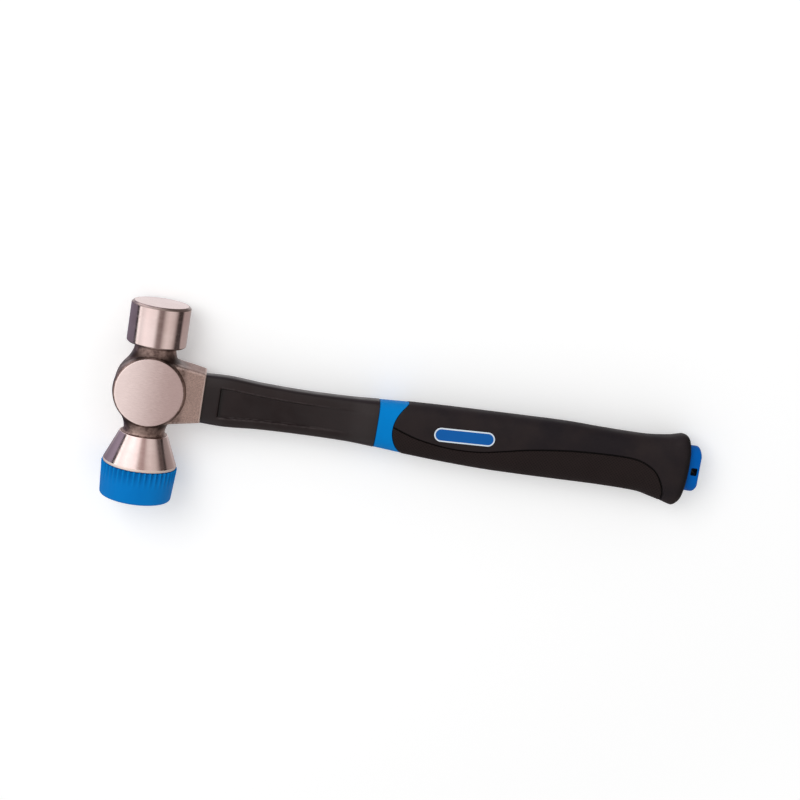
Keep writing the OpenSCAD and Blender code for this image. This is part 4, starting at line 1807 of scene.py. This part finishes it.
@dataclass(frozen=True)
class Sleeve:
    """Stiff sleeve under the grip, which shows as the band in front and as the tab at the butt."""

    form: HandleForm
    grip: Overmould
    band_sink: float = 0.2
    edge_round: float = 0.5
    edge_shades: tuple[float, ...] = (1.0, 1.0, 1.0, 0.7, 0.3)
    band_first: float = 0.06
    band_rows: int = 34
    passes: int = 5
    shadow_gap: float = 0.45
    gap_depth: float = 1.4
    gap_edge: float = 0.1
    gap_side: float = 0.12
    under_grip: float = 0.5
    core_rows: int = 59
    core_short: float = 6.0
    columns: int = 144
    tab_h: float = 26.2
    tab_r: float = 1.8
    tab_mid: float = -0.7
    tab_root: float = 5.0
    tab_crest: float = -2.5
    tab_crown: float = 0.7
    tab_end_r: float = 85.0
    tab_bevel: float = 1.6
    tab_rows: int = 37
    corner_steps: int = 8
    hole_l: float = 2.9
    hole_h: float = 3.6
    hole_mid: float = -1.2
    hole_in: float = 3.0
    hole_r: float = 0.5
    hole_bevel: float = 0.3
    hole_power: int = 4
    side_rings: tuple[float, ...] = (0, 0.2, 0.4, 0.6, 0.8, 0.95, 1.0)
    crease: float = 40.0
    band_blue: MouldedPlastic = MouldedPlastic(
        "band_plastic", colour=(0.0, 0.215, 0.61), other=(0.0, 0.2, 0.58), rubbed_and_painted_highlight=(0.0, 0.27, 0.68),
        roughness=0.48, specular=0.06, hollow_shade=0.16,
    )
    # Darker copy of the band's blue for the same sleeve, painted shade on the tab.
    tab_blue_painted_shade: MouldedPlastic = MouldedPlastic(
        "tab_plastic", colour=(0.0, 0.12, 0.48), other=(0.0, 0.11, 0.45), rubbed_and_painted_highlight=(0.0, 0.17, 0.55),
        roughness=0.48, specular=0.06, hollow_shade=0.04,
    )

    def build_band(self) -> bpy.types.Object:
        """Builds the sleeve with its band, stepping down under the grip.

        Returns:
            The finished piece.
        """
        datum, lay = self.form.datum, self.form.skin
        turns = np.linspace(0, 2 * math.pi, self.columns, endpoint=False)
        # Painted shade on the front edge's rounding, in the gap before the grip, on the hidden rows and
        # on both end caps.
        shades = list(self.edge_shades)
        rows = []
        for angle in np.linspace(0, QUARTER, len(shades)):
            x = np.full(self.columns, datum.band_x + self.edge_round * (1 - math.cos(angle)))
            rows.append(lay(x, turns, self.band_sink + self.edge_round * (1 - math.sin(angle))))
        for share in np.linspace(self.band_first, 1, self.band_rows):
            x = np.full(self.columns, datum.band_x + self.grip.band_len * share)
            for _ in range(self.passes):
                nose = self.grip.front(lay(x, turns)[:, 1]) - self.shadow_gap
                x = datum.band_x + (nose - datum.band_x) * share
            rows.append(lay(x, turns, self.band_sink))
            shades.append(0.0)
        rows.append(lay(x + self.gap_edge, turns, self.band_sink + self.gap_side))
        rows.append(lay(x + self.gap_side, turns, self.gap_depth))
        x = x + self.shadow_gap + self.under_grip
        rows.append(lay(x, turns, self.gap_depth))
        rows.append(lay(x, turns, self.grip.wall))
        for share in way_shares(self.core_rows):
            rows.append(lay(x + (datum.butt_x - self.core_short - x) * share, turns, self.grip.wall))
        shades += [1.0] * (len(rows) - len(shades))
        skin = Skin("sleeve_band")
        skin.tube(np.stack(rows), hollow=np.array(shades)[:, None], ends=1.0)
        piece = skin.lay(datum, [self.band_blue.material()], self.crease)
        return settle(piece, Body.HAMMER, ["inner_sleeve"], "sleeve_plastic")

    def frame_of(self, centre: tuple[float, float], size: tuple[float, float],
                 radius: float) -> Array:
        """Draws a rounded rectangle.

        Args:
            centre: Its middle.
            size: Its length and height.
            radius: Its corner radius.

        Returns:
            Points round the outline, by 2.
        """
        half = np.array(size) / 2 - radius
        points = []
        for quarter, (sx, sy) in enumerate(((1, 1), (-1, 1), (-1, -1), (1, -1))):
            for angle in np.linspace(quarter, quarter + 1, self.corner_steps + 1) * QUARTER:
                points.append((
                    centre[0] + sx * half[0] + radius * math.cos(angle),
                    centre[1] + sy * half[1] + radius * math.sin(angle),
                ))
        return np.array(points)

    def tab_ring(self, angle: float) -> tuple[Array, Array]:
        """Draws one level of the tab, with its bowed end and its lanyard hole.

        Args:
            angle: How far round the oval section the level lies, a quarter turn at the top side.

        Returns:
            Points round the tab and points round the hole, by 3.
        """
        datum = self.form.datum
        root = datum.butt_x - self.tab_root
        half_t = self.form.tab_t / 2
        flat = self.tab_h / 2 - half_t
        z = half_t * math.sin(angle)
        edge = max(abs(z) - half_t + self.tab_bevel, 0) / self.tab_bevel
        inset = self.tab_bevel * (1 - math.sqrt(1 - edge * edge))
        length = datum.tab_x - inset - root
        size = (length, 2 * (flat + half_t * math.cos(angle)))
        tab = self.frame_of((root + length / 2, self.tab_mid), size, self.tab_r)
        bow = self.tab_crown - (tab[:, 1] - self.tab_crest) ** 2 / (2 * self.tab_end_r)
        tab[:, 0] += bow * (tab[:, 0] - root) / length
        opening = self.hole_bevel * edge ** self.hole_power
        size = (self.hole_l + 2 * opening, self.hole_h + 2 * opening)
        hole = self.frame_of((datum.tab_x - self.hole_in, self.hole_mid), size, self.hole_r + opening)
        return tuple(np.column_stack([plan, np.full(len(plan), z)]) for plan in (tab, hole))

    def build_tab(self) -> bpy.types.Object:
        """Builds the tab with its lanyard hole and rounded edges.

        Returns:
            The finished piece.
        """
        outside, inside = zip(*(self.tab_ring(a) for a in np.linspace(QUARTER, -QUARTER, self.tab_rows)))
        skin = Skin("butt_tab")
        skin.sheet(np.stack(outside), wrap=True)
        # The hole's walls take full painted shade.
        skin.sheet(np.stack(inside), wrap=True, hollow=1.0)
        shares = np.array(self.side_rings)[:, None]
        for level in (0, -1):
            rings = outside[level] + (inside[level] - outside[level]) * shares[:, :, None]
            # Only the last ring, at the hole's rim, takes painted shade.
            skin.sheet(rings, wrap=True, hollow=np.floor(shares))
        piece = skin.lay(self.form.datum, [self.tab_blue_painted_shade.material()], self.crease)
        return settle(piece, Body.HAMMER, ["inner_sleeve"], "sleeve_plastic")


@dataclass(frozen=True)
class Badge:
    """Bare pill-shaped plate let into the grip's side, with a raised pale border."""

    form: HandleForm
    length: float = 33.8
    height: float = 7.8
    back: float = 48.6
    rise: float = 1.0
    tilt: float = 2.6
    seat: float = 0.9
    proud: float = 0.25
    border: float = 0.75
    field_drop: float = 0.12
    edge_drop: float = 0.12
    edge_in: float = 0.05
    edge_end: float = 0.16
    soft_drop: float = 0.03
    inner_start: float = 0.12
    inner_end: float = 0.04
    straight_points: int = 40
    bend_points: int = 25
    field_rings: int = 9
    back_rings: int = 5
    crease: float = 50.0
    blue: MouldedPlastic = MouldedPlastic(
        "badge_blue", colour=(0.004, 0.11, 0.4), other=(0.004, 0.102, 0.375), rubbed_and_painted_highlight=(0.01, 0.15, 0.45),
        roughness=0.34, specular=0.16, grain_depth=3e-6,
    )
    white: MouldedPlastic = MouldedPlastic(
        "badge_border", colour=(0.74, 0.82, 0.9), other=(0.68, 0.77, 0.86), rubbed_and_painted_highlight=(0.85, 0.9, 0.95),
        roughness=0.32, specular=0.45, grain_depth=3e-6,
    )

    def outline(self, radius: float) -> Array:
        """Draws a pill on the badge's own axes.

        Args:
            radius: Radius of its ends.

        Returns:
            Points round it, by 2.
        """
        half = (self.length - self.height) / 2
        straight = np.linspace(-half, half, self.straight_points)
        level = np.full(self.straight_points, radius)
        bend = np.linspace(-QUARTER, QUARTER, self.bend_points)[1:-1]
        right = np.column_stack([half + radius * np.cos(bend), radius * np.sin(bend)])
        low = np.column_stack([straight, -level])
        high = np.column_stack([straight[::-1], level])
        return np.vstack([low, right, high, -right])

    def ring(self, radius: float, lift: float) -> Array:
        """Lays a pill on the grip's side.

        Args:
            radius: Radius of its ends.
            lift: How far it stands off the side.

        Returns:
            Points round it, by 3.
        """
        plan = self.outline(radius)
        turn = math.radians(self.tilt)
        middle = self.form.datum.band_x + self.back
        x = middle + plan[:, 0] * math.cos(turn) - plan[:, 1] * math.sin(turn)
        y = self.rise + plan[:, 0] * math.sin(turn) + plan[:, 1] * math.cos(turn)
        return np.column_stack([x, y, self.form.side(x, y) + lift])

    def build(self) -> bpy.types.Object:
        """Builds the badge as one closed skin in two colours.

        Returns:
            The finished piece.
        """
        r, top = self.height / 2, self.proud
        inner = r - self.border
        sunk = top - self.field_drop
        border = [
            (r, -self.seat),
            (r, top - self.edge_drop),
            (r - self.edge_in, top - self.soft_drop),
            (r - self.edge_end, top),
            (inner + self.inner_start, top),
            (inner + self.inner_end, top - self.soft_drop),
            (inner, sunk),
        ]
        field = [(inner * s, sunk) for s in np.linspace(1, 0, self.field_rings)]
        back = [(r * s, -self.seat) for s in np.linspace(1, 0, self.back_rings)]
        skin = Skin("badge_plate")
        for rows, slot in (
            (back, BadgePlastic.BORDER), (border, BadgePlastic.BORDER), (field, BadgePlastic.FIELD),
        ):
            skin.sheet(np.stack([self.ring(*row) for row in rows]), wrap=True, slot=slot)
        by_slot = {BadgePlastic.FIELD: self.blue, BadgePlastic.BORDER: self.white}
        finishes = [by_slot[slot].material() for slot in BadgePlastic]
        piece = skin.lay(self.form.datum, finishes, self.crease)
        return settle(piece, Body.HAMMER, ["badge"], "badge_plate")


@dataclass(frozen=True)
class Core:
    """Rod and cast bond, kept as the frame's own nodes and given their finishes."""

    rod: CastResin = CastResin("glass_fibre", colour=(0.5, 0.42, 0.24), other=(0.38, 0.32, 0.17))
    bond: CastResin = CastResin("eye_resin")

    def dress(self) -> None:
        """Gives the two nodes their materials."""
        for name, finish in (("core_rod", self.rod), ("eye_bond", self.bond)):
            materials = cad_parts[name].data.materials
            materials.clear()
            materials.append(finish.material())
            LOG.info("%s: dressed in %s", name, finish.name)


class Panel(NamedTuple):
    """A stop in the ring of panels round the head's axis."""

    angle: float
    colour: Colour
    gain_above: float


@dataclass(frozen=True)
class Studio:
    """Pale floor, soft lamp, surroundings and the camera, in metres and degrees.

    Bright metal reflects the panels as strips. Bounds named low and high are those of a
    direction's X, Y or Z between which one part of the surroundings fades into the next.
    """

    PANELS: ClassVar[tuple[Panel, ...]] = (
        Panel(-180, (0.21, 0.19, 0.25), 1.9),
        Panel(-98, (0.17, 0.155, 0.2), 1.9),
        Panel(-95, (0.01, 0.008, 0.01), 3.0),
        Panel(-87, (0.01, 0.008, 0.01), 3.0),
        Panel(-83, (1.25, 1.25, 1.25), 1.2),
        Panel(-75, (1.0, 0.98, 0.98), 1.35),
        Panel(-70, (0.82, 0.8, 0.8), 1.4),
        Panel(-48, (1.03, 1.0, 1.0), 1.35),
        Panel(-12, (0.92, 0.9, 0.9), 1.25),
        Panel(1, (0.25, 0.21, 0.2), 2.0),
        Panel(14, (0.2, 0.16, 0.155), 2.0),
        Panel(27, (0.6, 0.56, 0.54), 1.1),
        Panel(40, (0.74, 0.7, 0.68), 1.0),
        Panel(60, (0.6, 0.56, 0.54), 1.0),
        Panel(72, (0.3, 0.26, 0.25), 1.0),
        Panel(78, (0.05, 0.04, 0.038), 2.0),
        Panel(97, (0.05, 0.04, 0.038), 2.0),
        Panel(106, (0.4, 0.35, 0.34), 0.62),
        Panel(180, (0.42, 0.38, 0.37), 0.62),
    )

    datum: Datum
    floor_size: float = 12.0
    floor_gap: float = 0.0004
    floor_colour: Colour = (0.9, 0.9, 0.9)
    floor_lift: float = 0.24
    fade_start: float = 0.17
    fade_end: float = 0.42
    face_in: float = 0.0012
    heel_in: float = 0.0055
    sky: float = 0.62
    above_low: float = -0.1
    above_high: float = 0.3
    back_low: float = -0.92
    back_high: float = -0.74
    head_on_low: float = -0.16
    head_on_high: float = 0.17
    back_colour: Colour = (0.86, 0.83, 0.84)
    overhead_low: float = 0.5
    overhead_high: float = 0.66
    beside_low: float = -0.5
    beside_high: float = -0.36
    overhead_colour: Colour = (1.7, 1.66, 1.72)
    key_place: tuple[float, float, float] = (-0.75, 0.55, 1.25)
    key_size: float = 0.9
    key_power: float = 9.0
    roll: float = -9.793
    tilt: float = 12.123
    yaw: float = 6.647
    aim: tuple[float, float, float] = (-0.007728, 0.020696, 0.0209)
    distance: float = 1.0
    lens: float = 81.35
    sensor: float = 36.0

    def paper(self) -> bpy.types.Material:
        """Builds the floor's material, which fades to plain white away from the hammer.

        Returns:
            The finished material.
        """
        material = bpy.data.materials.new("floor_paper")
        graph = Graph.of(material)
        paper = graph.shade("BsdfDiffuse", Color=self.floor_colour)
        glow = graph.shade("Emission", Color=WHITE, Strength=self.floor_lift)
        lifted = graph.shade("AddShader", in0=paper, in1=glow)
        white = graph.shade("Emission", Color=WHITE, Strength=1.0)
        spot = graph.add("NewGeometry").outputs["Position"]
        away = graph.add("VectorMath", {"operation": "DISTANCE"}, in0=spot, in1=self.aim).outputs["Value"]
        far = graph.span(away, self.fade_start, self.fade_end, 0.0, 1.0)
        faded = graph.shade("MixShader", in0=far, in1=lifted, in2=white)
        seen = graph.add("LightPath").outputs["Is Camera Ray"]
        graph.add("OutputMaterial", Surface=graph.shade("MixShader", in0=seen, in1=paper, in2=faded))
        return material

    def floor(self) -> bpy.types.Object:
        """Lays the floor under the three places that the hammer rests on.

        Returns:
            The floor.
        """
        tip_low, tip_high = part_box("soft_tip")
        _, head_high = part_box("hammer_head")
        heel_low, heel_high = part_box("grip_shell")
        axis_x, axis_z = self.datum.origin[0] * MM, self.datum.origin[2] * MM
        face_r = ForgedHead(self.datum).face_r * MM
        at_tip = Vector((axis_x, tip_high.y, tip_low.z))
        at_face = Vector((axis_x, head_high.y - self.face_in, axis_z - face_r))
        at_heel = Vector((heel_high.x - self.heel_in, (heel_low.y + heel_high.y) / 2, heel_low.z))
        normal = (at_heel - at_tip).cross(at_face - at_tip).normalized()
        place = at_tip - normal * self.floor_gap
        bpy.ops.mesh.primitive_plane_add(size=self.floor_size, location=place)
        floor = bpy.context.object
        floor.name = "floor"
        floor.rotation_mode = "QUATERNION"
        floor.rotation_quaternion = Vector((0, 0, 1)).rotation_difference(normal)
        floor.visible_glossy = False
        floor.data.materials.append(self.paper())
        return floor

    @staticmethod
    def ring(graph: Graph, share: Socket, stops: Sequence[tuple[float, Colour]]) -> Socket:
        """Sets panels round the head's axis.

        Args:
            graph: The world's graph.
            share: Share of the way round.
            stops: Angles in degrees, from -180 to 180, and the colour at each.

        Returns:
            The panels' colour.
        """
        node = graph.add("ValToRGB", Fac=share)
        ramp = node.color_ramp
        for angle, colour in stops[1:-1]:
            ramp.elements.new((angle + FULL_TURN / 2) / FULL_TURN).color = (*colour, 1)
        ramp.elements[0].color = (*stops[0][1], 1)
        ramp.elements[-1].color = (*stops[-1][1], 1)
        return node.outputs["Color"]

    def reflections(self, graph: Graph) -> Socket:
        """Builds what bright metal reflects, by direction.

        Args:
            graph: The world's graph.

        Returns:
            The colour.
        """
        axes = graph.add("SeparateXYZ", Vector=graph.add("TexCoord").outputs["Generated"])
        x, y, z = (axes.outputs[name] for name in "XYZ")
        angle = graph.math("ARCTAN2", x, z)
        around = graph.add("MapRange", Value=angle, From_Min=-math.pi, From_Max=math.pi).outputs["Result"]
        wall = self.ring(graph, around, [(stop.angle, stop.colour) for stop in self.PANELS])
        above = self.ring(graph, around, [
            (stop.angle, tuple(channel * stop.gain_above for channel in stop.colour))
            for stop in self.PANELS
        ])
        room = graph.mix(graph.span(y, self.above_low, self.above_high, 0.0, 1.0), wall, above)
        behind = graph.span(z, self.back_low, self.back_high, 1.0, 0.0)
        head_on = graph.span(y, self.head_on_low, self.head_on_high, 0.0, 1.0)
        room = graph.mix(graph.math("MULTIPLY", behind, head_on), room, self.back_colour)
        overhead = graph.span(y, self.overhead_low, self.overhead_high, 0.0, 1.0)
        beside = graph.span(x, self.beside_low, self.beside_high, 1.0, 0.0)
        return graph.mix(graph.math("MULTIPLY", overhead, beside), room, self.overhead_colour)

    def surroundings(self) -> None:
        """Sets a white backdrop, even sky light and the panels that metal reflects."""
        world = bpy.data.worlds.new("studio")
        bpy.context.scene.world = world
        graph = Graph.of(world)
        path = graph.add("LightPath")
        reflected = graph.shade("Background", Color=self.reflections(graph), Strength=1.0)
        even = graph.shade("Background", Color=WHITE, Strength=self.sky)
        white = graph.shade("Background", Color=WHITE, Strength=1.0)
        lit = graph.shade("MixShader", in0=path.outputs["Is Glossy Ray"], in1=even, in2=reflected)
        seen = graph.shade("MixShader", in0=path.outputs["Is Camera Ray"], in1=lit, in2=white)
        graph.add("OutputWorld", Surface=seen)

    def key_lamp(self) -> bpy.types.Object:
        """Hangs a square soft lamp that looks at the hammer and shows in no reflection.

        Returns:
            The lamp.
        """
        light = bpy.data.lights.new("key_lamp", "AREA")
        light.size = self.key_size
        light.energy = self.key_power
        lamp = stand("key_lamp", light)
        lamp.location = self.key_place
        lamp.rotation_mode = "QUATERNION"
        lamp.rotation_quaternion = (Vector(self.aim) - lamp.location).to_track_quat("-Z", "Y")
        lamp.visible_glossy = False
        return lamp

    def camera(self) -> bpy.types.Object:
        """Sets the camera at the photograph's viewing angle.

        Returns:
            The camera.
        """
        turn = (
            Matrix.Rotation(math.radians(self.roll), 3, "Z")
            @ Matrix.Rotation(math.radians(self.tilt), 3, "X")
            @ Matrix.Rotation(math.radians(self.yaw), 3, "Y")
        ).transposed()
        view = bpy.data.cameras.new("camera")
        view.lens = self.lens
        view.sensor_width = self.sensor
        camera = stand("camera", view)
        place = Vector(self.aim) + turn @ Vector((0, 0, self.distance))
        camera.matrix_world = Matrix.Translation(place) @ turn.to_4x4()
        bpy.context.scene.camera = camera
        return camera

    def build(self, unmirrored: Sequence[bpy.types.Object]) -> None:
        """Builds the whole studio.

        Args:
            unmirrored: Blue pieces whose mirror images are kept off the bright steel.
        """
        bpy.context.scene.view_settings.view_transform = "Standard"
        for piece in unmirrored:
            piece.visible_glossy = False
        self.floor()
        self.surroundings()
        self.key_lamp()
        self.camera()
        LOG.info("studio: floor, surroundings, lamp and camera")


def main() -> None:
    """Builds the pieces in order, then the studio."""
    logging.basicConfig(level=logging.INFO, format="%(name)s %(message)s")
    datum = Datum.from_frame()
    LOG.info("datum: %s", datum)
    SharedEffects().build()
    form = HandleForm(datum)
    grip = Overmould(form)
    sleeve = Sleeve(form, grip)
    ForgedHead(datum).build()
    SoftTip(datum).build()
    Shank(form).build()
    band = sleeve.build_band()
    sleeve.build_tab()
    for part in GripPart:
        grip.build(part)
    badge = Badge(form).build()
    Core().dress()
    Studio(datum).build([band, badge])


if __name__ == "__main__":
    main()
